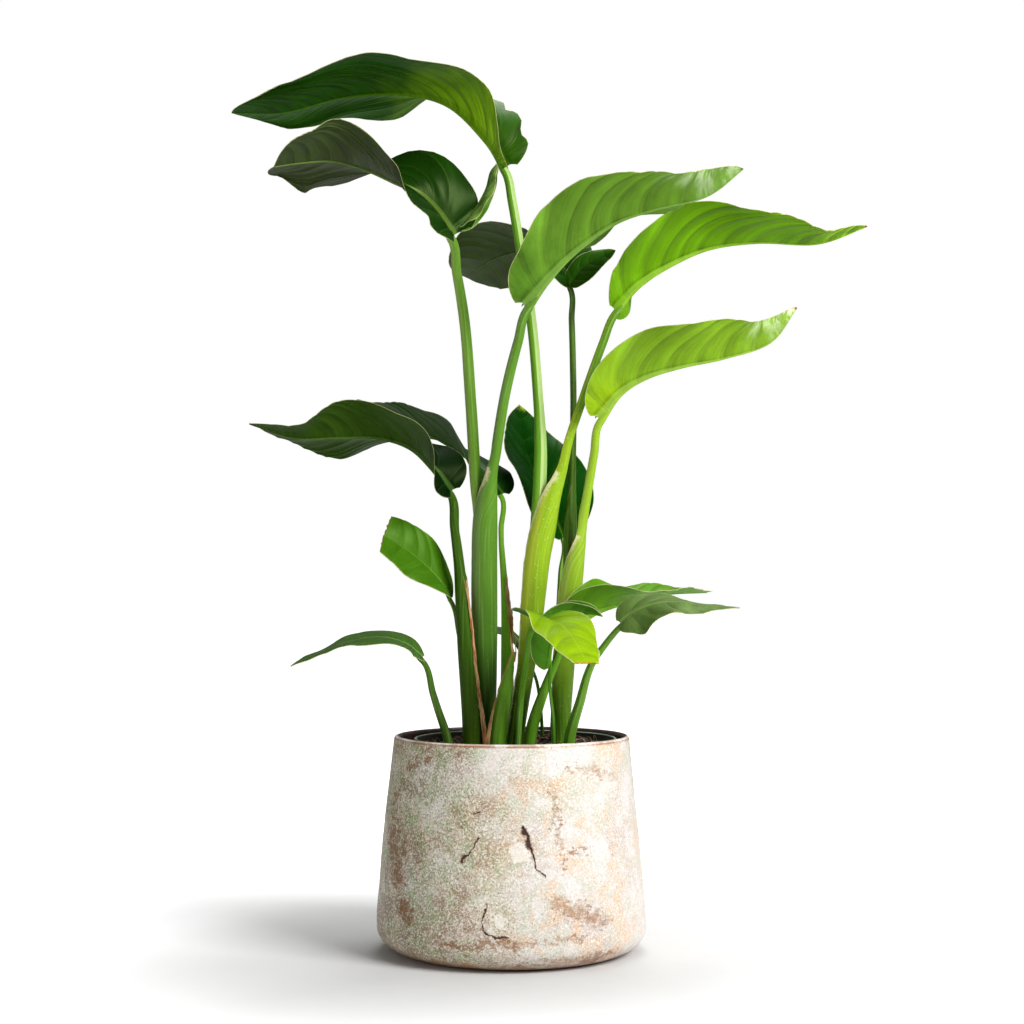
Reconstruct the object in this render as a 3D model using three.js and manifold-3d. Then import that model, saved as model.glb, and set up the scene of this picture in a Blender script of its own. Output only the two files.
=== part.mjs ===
// Potted giant white bird of paradise: four crowded shoots of paddle leaves on long
// petioles, standing in peat in a plastic nursery pot, inside a glazed stoneware cover pot.
// Units are millimetres and +Z is up. The origin is the centre of the cover pot's underside.

import * as THREE from "three";
import * as BufferGeometryUtils from "three/addons/utils/BufferGeometryUtils.js";
import Module from "manifold-3d";

const wasm = await Module();
wasm.setup();

// Driving dimensions of the pots and the soil
const POT_HEIGHT = 199;
const POT_RIM_RADIUS = 109.5;
const POT_BELLY_RADIUS = 125;
const POT_BELLY_HEIGHT = 30;
const POT_CORNER_RADIUS = 22;
const POT_LEAN = 1.5;
const POT_WALL = 6;
const POT_FLOOR = 8;
const POT_WOBBLE = 0.8;
const POT_SIDES = 56;

const NURSERY_RIM_RADIUS = 95;
const NURSERY_BASE_RADIUS = 72;
const NURSERY_TOP = 196.5;
const NURSERY_WALL = 1.6;
const NURSERY_LIP = 3;
const NURSERY_OFFSET_X = 3;
const NURSERY_SIDES = 40;
const DRAIN_HOLES = 6;
const DRAIN_HOLE_RADIUS = 6;
const DRAIN_RING_RADIUS = 46;

const SOIL_TOP = 186;
const SOIL_LUMP = 1.6;
const ROOT_DEPTH = 20;

const SEAT_GAP = 0.3;
const HOLE_CLEARANCE = 0.4;
const BLADE_CLEARANCE = 0.35;
const SMALLEST_EDGE = 0.05;

// Driving dimensions shared by all leaves
const BLADE_THICKNESS = 0.9;
const TIP_HALF_WIDTH = 0.7;
const BASE_FULLNESS = 0.45;
const TIP_FULLNESS = 0.8;
const BASE_START = 0.004;
const LOBE_REACH = 0.26;
const PETIOLE_SIDES = 10;
const PETIOLE_LEAD = 9;

// Colours and finishes, read from the photograph
const LEAF_TOP = { color: 0x2f6b1c, roughness: 0.42, metalness: 0 };
const LEAF_DARK = { color: 0x1d4a18, roughness: 0.38, metalness: 0 };
const LEAF_PALE = { color: 0x6d9a2c, roughness: 0.5, metalness: 0 };
const STALK_GREEN = { color: 0x5f8a3a, roughness: 0.5, metalness: 0 };
const SHEATH_YELLOW = { color: 0x86a832, roughness: 0.5, metalness: 0 };
const GLAZE = { color: 0xcfc6b8, roughness: 0.45, metalness: 0 };
const NURSERY_GREEN = { color: 0x16241c, roughness: 0.5, metalness: 0 };
const PEAT = { color: 0x2e2019, roughness: 0.95, metalness: 0 };

// Each leaf: spine points from the petiole junction to the tip, the direction that its
// right half leaves the midrib in, the widest half width, and for each half the angle in
// degrees that its chord rises from the midrib plane and the angle that it arches through,
// both listed at even steps from base to tip. back is how far the base lobes reach behind
// the junction, ripple the height of the margin's waves, cut where a torn tip ends, start how
// far the outline has opened at the junction, and base and tip how slender the two ends are.
const RIGHT_IS_FAR = [0, 1, 0];
const RIGHT_IS_NEAR = [0, -1, 0];
const RIGHT_IS_SIDEWAYS = [1, 0, 0];

const LEAVES = [
  {
    name: "a", right: RIGHT_IS_FAR, width: 60, rib: 4.2, back: 5, stations: 13, finish: LEAF_TOP,
    spine: [[-6, 22, 740], [-24, 20, 766], [-60, 14, 797], [-104, 8, 806], [-160, 6, 802],
      [-216, 10, 789], [-268, 16, 790]],
    rise: { right: [85, 46, -5, -10, -10, -6], left: [-5, 24, 21, 24, 23, 18] },
    arch: { right: [-20, -20, -30, -20, -10, 0], left: [-10, -25, -30, -25, -10, 0] },
    ripple: 2.5, waves: 3.2, tip: 0.68,
  },
  {
    name: "b", right: RIGHT_IS_FAR, width: 57, rib: 4.4, back: 5, stations: 14, finish: LEAF_DARK,
    spine: [[-55, -8, 668], [-72, -14, 692], [-89, -22, 706], [-110, -32, 714], [-136, -48, 722],
      [-163, -72, 724], [-191, -98, 717], [-212, -122, 708]],
    rise: { right: [60, 64, 10, -24, -16, -4], left: [-16, -24, -16, 8, 34, 42] },
    arch: { right: [-10, -20, -20, -15, -10, 0], left: [-10, -20, -25, -20, -10, 0] },
    ripple: 4, waves: 3.6, base: 0.3, tip: 0.5,
  },
  {
    name: "c", right: RIGHT_IS_NEAR, width: 57, rib: 4.2, back: 5, stations: 13, finish: LEAF_PALE,
    spine: [[13, -32, 599], [33, -38, 622], [57, -46, 645], [93, -58, 669], [128, -68, 680],
      [176, -82, 690], [208, -92, 713]],
    rise: { right: [52, 50, 48, 32, 36, 44], left: [12, 4, 4, 6, 10, 16] },
    arch: { right: [-10, -15, -20, -15, -10, 0], left: [-20, -20, -20, -15, -10, 0] },
    ripple: 4, waves: 3.4, tip: 0.65,
  },
  {
    name: "d", right: RIGHT_IS_NEAR, width: 55, rib: 3.8, back: 3, stations: 13, finish: LEAF_PALE,
    spine: [[98, 22, 602], [118, 27, 624], [147, 34, 644], [190, 44, 664], [240, 54, 672],
      [300, 66, 673], [350, 76, 692]],
    rise: { right: [30, 50, 43, 24, 17, 14], left: [-30, 10, 14, 15, 16, 18] },
    arch: { right: [-10, -20, -20, -15, -10, 0], left: [-10, -15, -15, -10, -10, 0] },
    ripple: 3, waves: 3.1,
  },
  {
    name: "e", right: RIGHT_IS_FAR, width: 47, rib: 3.6, back: 3, stations: 13, finish: LEAF_DARK,
    spine: [[-57, -12, 427], [-74, -18, 449], [-95, -24, 467], [-125, -34, 475], [-160, -46, 474],
      [-198, -58, 473], [-238, -70, 485]],
    rise: { right: [72, 34, 6, -2, 0, 4], left: [-30, 8, 32, 46, 30, 12] },
    arch: { right: [-10, -15, -20, -15, -10, 0], left: [-10, -15, -20, -20, -10, 0] },
    ripple: 3, waves: 2.8,
  },
  {
    name: "f", right: RIGHT_IS_FAR, width: 27, rib: 2.2, back: 0, stations: 9, finish: LEAF_TOP,
    spine: [[-57, 4, 327], [-68, 0, 343], [-82, -6, 358], [-99, -14, 372], [-121, -24, 386]],
    rise: { right: [25, 48, 52, 46], left: [-12, -35, -45, -40] },
    arch: { right: [0, 10, 10, 10], left: [-10, -10, -10, -5] },
    ripple: 1, waves: 2.1, cut: 0.78, base: 0.62, tip: 0.6,
  },
  {
    name: "g", right: RIGHT_IS_FAR, width: 27, rib: 2.6, back: 2, stations: 9, finish: LEAF_TOP,
    spine: [[-83, -20, 272], [-99, -28, 285], [-122, -42, 291], [-149, -58, 287],
      [-173, -74, 278], [-197, -90, 267]],
    rise: { right: [18, 10, 8, 8], left: [-8, -12, -12, -12] },
    arch: { right: [-10, -10, -10, -5], left: [-10, -15, -10, -5] },
    ripple: 1.2, waves: 2.4,
  },
  {
    name: "h", right: RIGHT_IS_NEAR, width: 48, rib: 3.8, back: 4, stations: 13, finish: LEAF_PALE,
    spine: [[82, 0, 497], [102, -6, 520], [127, -12, 534], [160, -18, 543], [198, -24, 550],
      [240, -30, 564], [264, -34, 596]],
    rise: { right: [45, 52, 50, 54, 60, 64], left: [10, 14, 15, 16, 20, 25] },
    arch: { right: [-10, -20, -20, -15, -10, 0], left: [-10, -15, -15, -10, -10, 0] },
    ripple: 2, waves: 3.3,
  },
  {
    name: "i", right: RIGHT_IS_FAR, width: 48, rib: 2.8, back: 2, stations: 12, finish: LEAF_DARK,
    spine: [[57, 50, 629], [46, 56, 652], [30, 68, 666], [7, 88, 669], [-17, 116, 667],
      [-36, 148, 661], [-47, 176, 657]],
    rise: { right: [84, 66, -10, -46, -56, -50], left: [-38, -8, 28, 38, 36, 30] },
    arch: { right: [-10, -10, -15, -15, -10, 0], left: [-10, -15, -20, -15, -10, 0] },
    ripple: 2.5, waves: 2.6, tip: 0.55,
  },
  {
    name: "j", right: RIGHT_IS_SIDEWAYS, width: 49, rib: 2.6, back: 3, stations: 10, finish: LEAF_DARK,
    spine: [[50, 62, 385], [41, 68, 407], [30, 78, 430], [18, 94, 458], [10, 112, 488],
      [7, 134, 521]],
    rise: { right: [20, 8, 4, 4], left: [54, 57, 52, 40] },
    arch: { right: [-10, -15, -15, -5], left: [-10, -15, -15, -5] },
    ripple: 2, waves: 2.2, tip: 0.95,
  },
  {
    name: "k", right: RIGHT_IS_FAR, width: 41, rib: 2.5, back: 3, stations: 10, finish: LEAF_DARK,
    spine: [[-10, 42, 427], [-21, 48, 442], [-34, 56, 455], [-50, 64, 467], [-72, 76, 481],
      [-97, 90, 494], [-122, 105, 507], [-156, 122, 525]],
    rise: { right: [52, 40, 26, 8, 4, 2], left: [-28, -4, 28, 26, 14, 6] },
    arch: { right: [-10, -15, -15, -5], left: [-10, -15, -15, -5] },
    ripple: 2, waves: 2.4,
  },
  {
    name: "l", right: RIGHT_IS_NEAR, width: 33, rib: 3, back: 3, stations: 10, finish: LEAF_TOP,
    spine: [[57, -15, 296], [72, -12, 310], [92, -4, 318], [116, 9, 324], [146, 23, 330],
      [190, 40, 332]],
    rise: { right: [88, 56, 10, 8, 8, 4], left: [86, 78, 44, 24, 18, 12] },
    arch: { right: [-10, -15, -15, -5], left: [-5, -10, -15, -5] },
    ripple: 1.8, waves: 2.6, cut: 0.9, start: 0.02,
  },
  {
    name: "m", right: RIGHT_IS_NEAR, width: 30, rib: 2.8, back: 3, stations: 10, finish: LEAF_TOP,
    spine: [[100, -38, 304], [112, -46, 315], [129, -57, 322], [150, -69, 324], [174, -82, 320],
      [202, -98, 319]],
    rise: { right: [-34, -52, -36, -24, -18, -14], left: [50, 16, 4, 2, 2, 2] },
    arch: { right: [-10, -15, -15, -5], left: [-10, -15, -15, -5] },
    ripple: 1.6, waves: 2.3,
  },
  {
    name: "n", right: RIGHT_IS_NEAR, width: 32, rib: 2.3, back: 20, stations: 9, finish: LEAF_PALE,
    spine: [[23, -60, 303], [34, -71, 307], [45, -83, 302], [55, -97, 290], [66, -113, 269]],
    rise: { right: [75, -25, -50, -46], left: [-10, 36, 40, 42] },
    arch: { right: [-5, -10, -10, 0], left: [-5, -10, -10, 0] },
    ripple: 1.2, waves: 1.9, cut: 0.85, base: 0.35, start: 0.05,
  },
  {
    name: "o", right: RIGHT_IS_NEAR, width: 22, rib: 1.6, back: 2, stations: 9, finish: LEAF_TOP,
    spine: [[34, -25, 262], [36, -25, 279], [42, -25, 295], [54, -25, 307], [70, -26, 312],
      [84, -27, 310]],
    rise: { right: [60, 76, 64, 40], left: [60, 72, 76, 76] },
    arch: { right: [-5, -10, -10, 0], left: [-5, -10, -10, 0] },
    ripple: 0.8, waves: 2,
  },
  {
    name: "p", right: RIGHT_IS_FAR, width: 16, rib: 1.5, back: 1, stations: 8, finish: LEAF_TOP,
    spine: [[10, 62, 274], [0, 72, 285], [-12, 86, 291], [-27, 100, 290], [-43, 112, 284]],
    rise: { right: [30, 20, 16, 12], left: [20, 14, 10, 8] },
    arch: { right: [-5, -10, -10, 0], left: [-5, -10, -10, 0] },
    ripple: 0.6, waves: 2,
  },
];

// Each stalk: centre points with the radius there, from the hole in the soil upwards. The
// last point before the blade is worked out from the leaf, so the two meet face to face.
// holds names the younger stalk that the sheath at the foot of this one is wrapped round.
const ROOT_Z = SOIL_TOP - ROOT_DEPTH;

const STALKS = [
  {
    name: "a", stations: 14, finish: STALK_GREEN,
    points: [[-1, 12, ROOT_Z, 3.6], [5, 11.5, 215, 3.8], [13, 11, 260, 4.2], [19, 10.5, 325, 5],
      [21.5, 10.5, 363, 5.6], [23, 11, 392, 6], [25.5, 12, 420, 6.5], [26.8, 14, 450, 6.4],
      [27, 15.5, 476, 5.9], [25, 18, 515, 4.9], [19, 19, 587, 4.8], [8, 20, 659, 4.6],
      [-1, 21, 712, 4.4]],
  },
  {
    name: "d", stations: 15, finish: SHEATH_YELLOW, holds: "a",
    points: [[-2, 12, ROOT_Z, 8], [6, 11.5, 215, 8], [13, 11, 260, 8.4], [17.5, 10.5, 295, 10],
      [20, 10.5, 325, 11.4], [24, 10.5, 363, 12], [29.5, 10, 392, 12], [36, 9.5, 420, 10],
      [46.5, 9.5, 447, 5.6], [54, 10.5, 477, 4.3], [64.5, 12.5, 508, 4.1], [86, 18, 568, 4]],
  },
  {
    name: "b", stations: 12, finish: STALK_GREEN,
    points: [[-26, 16, ROOT_Z, 3.8], [-26, 13.5, 260, 4.2], [-28, 8, 363, 5], [-31.5, 5, 410, 5.4],
      [-34.5, 4, 440, 5.5], [-39, 1, 513, 5.3], [-45, -3, 589, 5]],
  },
  {
    name: "c", stations: 15, finish: STALK_GREEN, holds: "b",
    points: [[-26, 17, ROOT_Z, 9], [-26, 15, 220, 11], [-26, 12, 290, 12.2], [-26, 6, 363, 12.2],
      [-25.2, 2, 400, 11.6], [-23, -1, 421, 9.4], [-19.5, -4, 444, 6], [-15.5, -7, 462, 5.1],
      [-13.5, -9, 475, 5], [-6.5, -15, 517, 4.8], [4, -23, 560, 4.6]],
  },
  {
    name: "e", stations: 12, finish: STALK_GREEN,
    points: [[-35, -5, ROOT_Z, 10], [-38, -4.5, 225, 9.4], [-43, -4, 280, 8], [-47, -3, 330, 6.4],
      [-50, -4, 362, 5], [-55.5, -8, 408, 4.4]],
  },
  {
    name: "f", stations: 10, finish: STALK_GREEN,
    points: [[-40, 24, ROOT_Z, 2.9], [-43, 22, 249, 2.7], [-49.5, 16, 290, 2.5], [-54, 9, 310, 2.3]],
  },
  {
    name: "g", stations: 8, finish: STALK_GREEN,
    points: [[-55, -8.5, ROOT_Z, 4.4], [-60, -9.5, 196, 4.2], [-69, -12.5, 224, 3.6], [-77, -16, 250, 3]],
  },
  {
    name: "i", stations: 13, finish: STALK_GREEN,
    points: [[45, 13, ROOT_Z, 3.4], [49, 13, 268, 4], [53, 13, 334, 4.8], [54.5, 17, 370, 6],
      [55.5, 20, 398, 6.2], [57, 24, 430, 4.2], [58, 27, 460, 3.3], [59, 34, 517, 3.1],
      [58, 43, 585, 3]],
  },
  {
    name: "h", stations: 14, finish: SHEATH_YELLOW, holds: "i",
    points: [[45, 12, ROOT_Z, 7], [47, 12, 230, 9.6], [51, 11, 290, 10.4], [55.5, 9, 334, 10.6],
      [61, 6, 370, 8], [65.5, 4, 396, 5.4], [70, 2.5, 420, 4.5], [74, 1.5, 444, 4.2],
      [78, 1, 466, 4]],
  },
  {
    name: "j", stations: 10, finish: STALK_GREEN,
    points: [[38, 38, ROOT_Z, 3.4], [42, 44, 248, 3.2], [46, 53, 325, 2.9]],
  },
  {
    name: "k", stations: 12, finish: STALK_GREEN,
    points: [[-7, 34, ROOT_Z, 6], [-5, 34, 240, 6], [-5, 34, 290, 5.4], [-7, 35, 335, 3.6],
      [-10, 37, 380, 2.8]],
  },
  {
    name: "l", stations: 9, finish: STALK_GREEN,
    points: [[14, -6, ROOT_Z, 6.4], [19, -9, 205, 6.2], [30, -11, 240, 4.8], [43, -13, 272, 3.8]],
  },
  {
    name: "m", stations: 9, finish: STALK_GREEN,
    points: [[50, -15, ROOT_Z, 5.6], [54, -18, 200, 5.2], [62.5, -23, 230, 4.4], [74.5, -30, 268, 3.4]],
  },
  {
    name: "n", stations: 9, finish: STALK_GREEN,
    points: [[4, -19, ROOT_Z, 3], [8, -26, 230, 2.8], [12, -39, 262, 2.6], [16, -51, 287, 2.4]],
  },
  {
    name: "o", stations: 7, finish: STALK_GREEN,
    points: [[39, -21, ROOT_Z, 1.9], [38, -23, 215, 1.8], [34.5, -25, 245, 1.6]],
  },
  {
    name: "p", stations: 8, finish: STALK_GREEN,
    points: [[31, 52, ROOT_Z, 1.8], [27, 54, 228, 1.7], [20, 57, 258, 1.6]],
  },
];

// The stump of a leaf that was cut away: a blunt papery-edged sheath with no blade
const STUMP = {
  name: "sheath_stump", stations: 8, finish: STALK_GREEN,
  points: [[-14, -9, ROOT_Z, 8.6], [-13, -10, 200, 8.4], [-8, -12, 232, 6.6], [-3, -14, 258, 4.2],
    [2, -16, 277, 1.6]],
};

const vector = (list) => new THREE.Vector3(list[0], list[1], list[2]);
const radians = THREE.MathUtils.degToRad;

// Value of an evenly spaced list at a fraction from 0 to 1, joined by a smooth curve
function along(list, fraction) {
  const last = list.length - 1;
  const place = THREE.MathUtils.clamp(fraction, 0, 1) * last;
  const index = Math.min(Math.floor(place), last - 1);
  const local = place - index;
  const value = (i) => list[THREE.MathUtils.clamp(i, 0, last)];
  const startSlope = (value(index + 1) - value(index - 1)) / 2;
  const endSlope = (value(index + 2) - value(index)) / 2;
  const square = local * local;
  const cube = square * local;
  return (2 * cube - 3 * square + 1) * value(index) + (cube - 2 * square + local) * startSlope
    + (3 * square - 2 * cube) * value(index + 1) + (cube - square) * endSlope;
}

// Outline of a blade: half width as a share of the widest, at a fraction of its length
function bladeOutline(fraction, start, base, tip) {
  const x = start + (1 - start) * fraction;
  const shape = (t) => t ** base * (1 - t) ** tip;
  return shape(Math.min(x, 1)) / shape(base / (base + tip));
}

// The frame and the curved cross-section of one blade
class Blade {
  constructor(leaf) {
    this.leaf = leaf;
    this.curve = new THREE.CatmullRomCurve3(leaf.spine.map(vector), false, "catmullrom", 0.5);
    this.curve.arcLengthDivisions = 400;
    this.cut = leaf.cut ?? 1;
  }

  frame(s) {
    const origin = this.curve.getPointAt(s);
    const ahead = this.curve.getTangentAt(s);
    const right = vector(this.leaf.right);
    right.addScaledVector(ahead, -right.dot(ahead)).normalize();
    const up = new THREE.Vector3().crossVectors(right, ahead);
    return { origin, ahead, right, up };
  }

  halfWidth(s) {
    const { width, start = BASE_START, base = BASE_FULLNESS, tip = TIP_FULLNESS } = this.leaf;
    return Math.max(width * bladeOutline(s * this.cut, start, base, tip), TIP_HALF_WIDTH);
  }

  ribHalfWidth(s) {
    const taper = 0.15 + 0.85 * (1 - s) ** 2.2;
    return Math.min(this.leaf.rib * taper, this.halfWidth(s) * 0.5);
  }

  // Point of the lower face, and its upward normal, at t of the way from midrib to margin
  surface(s, side, t) {
    const { origin, ahead, right, up } = this.frame(s);
    const half = side > 0 ? "right" : "left";
    const turn = radians(along(this.leaf.arch[half], s));
    const start = radians(along(this.leaf.rise[half], s)) - turn / 2;
    const width = this.halfWidth(s);
    const angle = start + turn * t;
    const middle = start + turn * t / 2;
    const spread = turn === 0 ? t : 2 * Math.sin(turn * t / 2) / turn;
    const outward = right.clone().multiplyScalar(side);
    const point = origin.clone()
      .addScaledVector(outward, width * spread * Math.cos(middle))
      .addScaledVector(up, width * spread * Math.sin(middle));
    const normal = up.clone().multiplyScalar(Math.cos(angle)).addScaledVector(outward, -Math.sin(angle));
    const lobe = Math.max(0, 1 - s / LOBE_REACH) ** 2;
    point.addScaledVector(ahead, -this.leaf.back * lobe * t * t);
    const fade = Math.min(1, s * 8, (1 - s) * 5);
    const wave = Math.sin(2 * Math.PI * (this.leaf.waves * s + (side > 0 ? 0.15 : 0.55)));
    point.addScaledVector(normal, this.leaf.ripple * wave * fade * t * t);
    return { point, normal };
  }

  // Middle of the petiole's end, and the direction that the petiole arrives in
  junction() {
    const { origin, ahead } = this.frame(0);
    const normal = this.keelNormal(0);
    const centre = origin.clone().addScaledVector(normal, -this.leaf.rib).addScaledVector(ahead, -BLADE_CLEARANCE);
    return { centre, ahead };
  }

  keelNormal(s) {
    const rightNormal = this.surface(s, 1, 0).normal;
    const leftNormal = this.surface(s, -1, 0).normal;
    return rightNormal.add(leftNormal).normalize();
  }
}

// Closed body between a lower and an upper grid of points, both split the same way
function slab(lower, upper) {
  const rows = lower.length;
  const columns = lower[0].length;
  const positions = [];
  for (const grid of [lower, upper]) {
    for (const row of grid) {
      for (const point of row) {
        positions.push(point.x, point.y, point.z);
      }
    }
  }
  const low = (i, j) => i * columns + j;
  const high = (i, j) => rows * columns + i * columns + j;
  const indices = [];
  const quad = (a, b, c, d) => indices.push(a, b, c, a, c, d);
  for (let i = 0; i < rows - 1; i++) {
    for (let j = 0; j < columns - 1; j++) {
      quad(high(i, j), high(i, j + 1), high(i + 1, j + 1), high(i + 1, j));
      indices.push(low(i, j), low(i + 1, j + 1), low(i, j + 1));
      indices.push(low(i, j), low(i + 1, j), low(i + 1, j + 1));
    }
    quad(low(i, 0), high(i, 0), high(i + 1, 0), low(i + 1, 0));
    quad(low(i, columns - 1), low(i + 1, columns - 1), high(i + 1, columns - 1), high(i, columns - 1));
  }
  for (let j = 0; j < columns - 1; j++) {
    quad(low(0, j), low(0, j + 1), high(0, j + 1), high(0, j));
    quad(low(rows - 1, j), high(rows - 1, j), high(rows - 1, j + 1), low(rows - 1, j + 1));
  }
  return geometryFrom(positions, indices);
}

function geometryFrom(positions, indices) {
  const geometry = new THREE.BufferGeometry();
  geometry.setAttribute("position", new THREE.Float32BufferAttribute(positions, 3));
  geometry.setIndex(indices);
  return geometry;
}

// A blade with its two folded halves, its waved margin and the keel of its midrib below
function bladeGeometry(leaf) {
  const blade = new Blade(leaf);
  const shares = leaf.stations > 10 ? [0, 0.34, 0.68, 1] : [0, 0.5, 1];
  const lower = [];
  const upper = [];
  for (let i = 0; i <= leaf.stations; i++) {
    const s = (i / leaf.stations) ** 1.25;
    const ribShare = blade.ribHalfWidth(s) / blade.halfWidth(s);
    const reach = shares.map((share) => ribShare + (1 - ribShare) * share);
    const keel = blade.keelNormal(s);
    const keelDepth = blade.ribHalfWidth(s) * (1.15 + 0.85 * Math.exp(-10 * s));
    const sideOf = (side, t) => {
      const { point, normal } = blade.surface(s, side, t);
      return { low: point, high: point.clone().addScaledVector(normal, BLADE_THICKNESS) };
    };
    const middle = blade.frame(s).origin;
    const left = reach.toReversed().map((t) => sideOf(-1, t));
    const right = reach.map((t) => sideOf(1, t));
    const centre = {
      low: middle.clone().addScaledVector(keel, -keelDepth),
      high: middle.clone().addScaledVector(keel, BLADE_THICKNESS),
    };
    const section = [...left, centre, ...right];
    lower.push(section.map((entry) => entry.low));
    upper.push(section.map((entry) => entry.high));
  }
  return slab(lower, upper);
}

// Centre points and radii of a stalk, carried on to the junction with its blade
function stalkSpine(stalk) {
  const points = stalk.points.map(vector);
  const radii = stalk.points.map((point) => point[3]);
  const leaf = LEAVES.find((entry) => entry.name === stalk.name);
  if (leaf) {
    const { centre, ahead } = new Blade(leaf).junction();
    points.push(centre.clone().addScaledVector(ahead, -PETIOLE_LEAD), centre);
    radii.push(leaf.rib, leaf.rib);
  }
  return { points, radii };
}

// Round tapered body along a curve, closed at both ends, its surface grown by a margin
function stalkGeometry(stalk, grown = 0) {
  const { points, radii } = stalkSpine(stalk);
  const curve = new THREE.CatmullRomCurve3(points, false, "catmullrom", 0.5);
  const positions = [];
  const rings = stalk.stations;
  for (let i = 0; i <= rings; i++) {
    const t = i / rings;
    const centre = curve.getPoint(t);
    const ahead = curve.getTangent(t);
    const across = new THREE.Vector3(1, 0, 0).addScaledVector(ahead, -ahead.x).normalize();
    const back = new THREE.Vector3().crossVectors(ahead, across);
    const radius = along(radii, t) + grown;
    if (i === 0) {
      centre.addScaledVector(ahead, -grown);
    }
    if (i === rings) {
      centre.addScaledVector(ahead, grown);
    }
    for (let k = 0; k < PETIOLE_SIDES; k++) {
      const angle = 2 * Math.PI * k / PETIOLE_SIDES;
      const point = centre.clone()
        .addScaledVector(across, radius * Math.cos(angle))
        .addScaledVector(back, radius * Math.sin(angle));
      positions.push(point.x, point.y, point.z);
    }
  }
  const indices = [];
  for (let i = 0; i < rings; i++) {
    for (let k = 0; k < PETIOLE_SIDES; k++) {
      const next = (k + 1) % PETIOLE_SIDES;
      const a = i * PETIOLE_SIDES + k;
      const b = i * PETIOLE_SIDES + next;
      indices.push(a, b, b + PETIOLE_SIDES, a, b + PETIOLE_SIDES, a + PETIOLE_SIDES);
    }
  }
  const top = rings * PETIOLE_SIDES;
  for (let k = 1; k < PETIOLE_SIDES - 1; k++) {
    indices.push(0, k + 1, k, top, top + k, top + k + 1);
  }
  return geometryFrom(positions, indices);
}

function toManifold(geometry) {
  const bare = geometry.clone();
  bare.deleteAttribute("normal");
  bare.deleteAttribute("uv");
  const merged = BufferGeometryUtils.mergeVertices(bare, 1e-4);
  return new wasm.Manifold(new wasm.Mesh({
    numProp: 3,
    vertProperties: new Float32Array(merged.attributes.position.array),
    triVerts: new Uint32Array(merged.index.array),
  }));
}

function fromManifold(manifold) {
  const mesh = manifold.getMesh();
  return geometryFrom(Array.from(mesh.vertProperties), Array.from(mesh.triVerts));
}

// Solid of revolution about Z from [radius, height] points that begin and end on the axis
function turned(profile, sides) {
  const points = profile.map(([radius, height]) => new THREE.Vector2(radius, height));
  return new THREE.LatheGeometry(points, sides).rotateX(Math.PI / 2);
}

// Quarter-round points of a profile, from one angle to another about a centre
function arcPoints(centreRadius, centreHeight, radius, fromDegrees, toDegrees, steps) {
  const points = [];
  for (let i = 0; i <= steps; i++) {
    const angle = radians(fromDegrees + (toDegrees - fromDegrees) * i / steps);
    points.push([centreRadius + radius * Math.cos(angle), centreHeight + radius * Math.sin(angle)]);
  }
  return points;
}

// Hand-formed stoneware: slightly out of round above its flat underside
function coverPot() {
  const cornerCentre = POT_BELLY_RADIUS - POT_CORNER_RADIUS;
  const lip = POT_WALL / 2;
  const profile = [
    [0, 0],
    ...arcPoints(cornerCentre, POT_CORNER_RADIUS, POT_CORNER_RADIUS, -90, 0, 5),
    [POT_BELLY_RADIUS, POT_BELLY_HEIGHT],
    [(POT_BELLY_RADIUS + POT_RIM_RADIUS) / 2 + 1, (POT_BELLY_HEIGHT + POT_HEIGHT) / 2],
    ...arcPoints(POT_RIM_RADIUS - lip, POT_HEIGHT - lip, lip, 0, 180, 4),
    [POT_BELLY_RADIUS - POT_WALL, POT_BELLY_HEIGHT],
    [cornerCentre, POT_FLOOR],
    [0, POT_FLOOR],
  ];
  const geometry = turned(profile, POT_SIDES);
  const position = geometry.attributes.position;
  for (let i = 0; i < position.count; i++) {
    const x = position.getX(i);
    const y = position.getY(i);
    const z = position.getZ(i);
    const radius = Math.hypot(x, y);
    const turn = Math.atan2(y, x);
    const grip = THREE.MathUtils.clamp((z - POT_FLOOR) / POT_BELLY_HEIGHT, 0, 1);
    const wave = Math.cos(2 * turn + 0.7) + 0.7 * Math.cos(3 * turn + z / 45);
    const scale = radius > 0 ? 1 + POT_WOBBLE * grip * wave / radius : 1;
    const lean = POT_LEAN * grip * (1 - z / POT_HEIGHT);
    position.setXY(i, x * scale - lean, y * scale);
  }
  return geometry;
}

// Outer radius of the growing pot's straight wall at a height
function nurseryRadius(height) {
  const share = (height - POT_FLOOR) / (NURSERY_TOP - POT_FLOOR);
  return THREE.MathUtils.lerp(NURSERY_BASE_RADIUS, NURSERY_RIM_RADIUS - NURSERY_LIP / 2, share);
}

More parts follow.
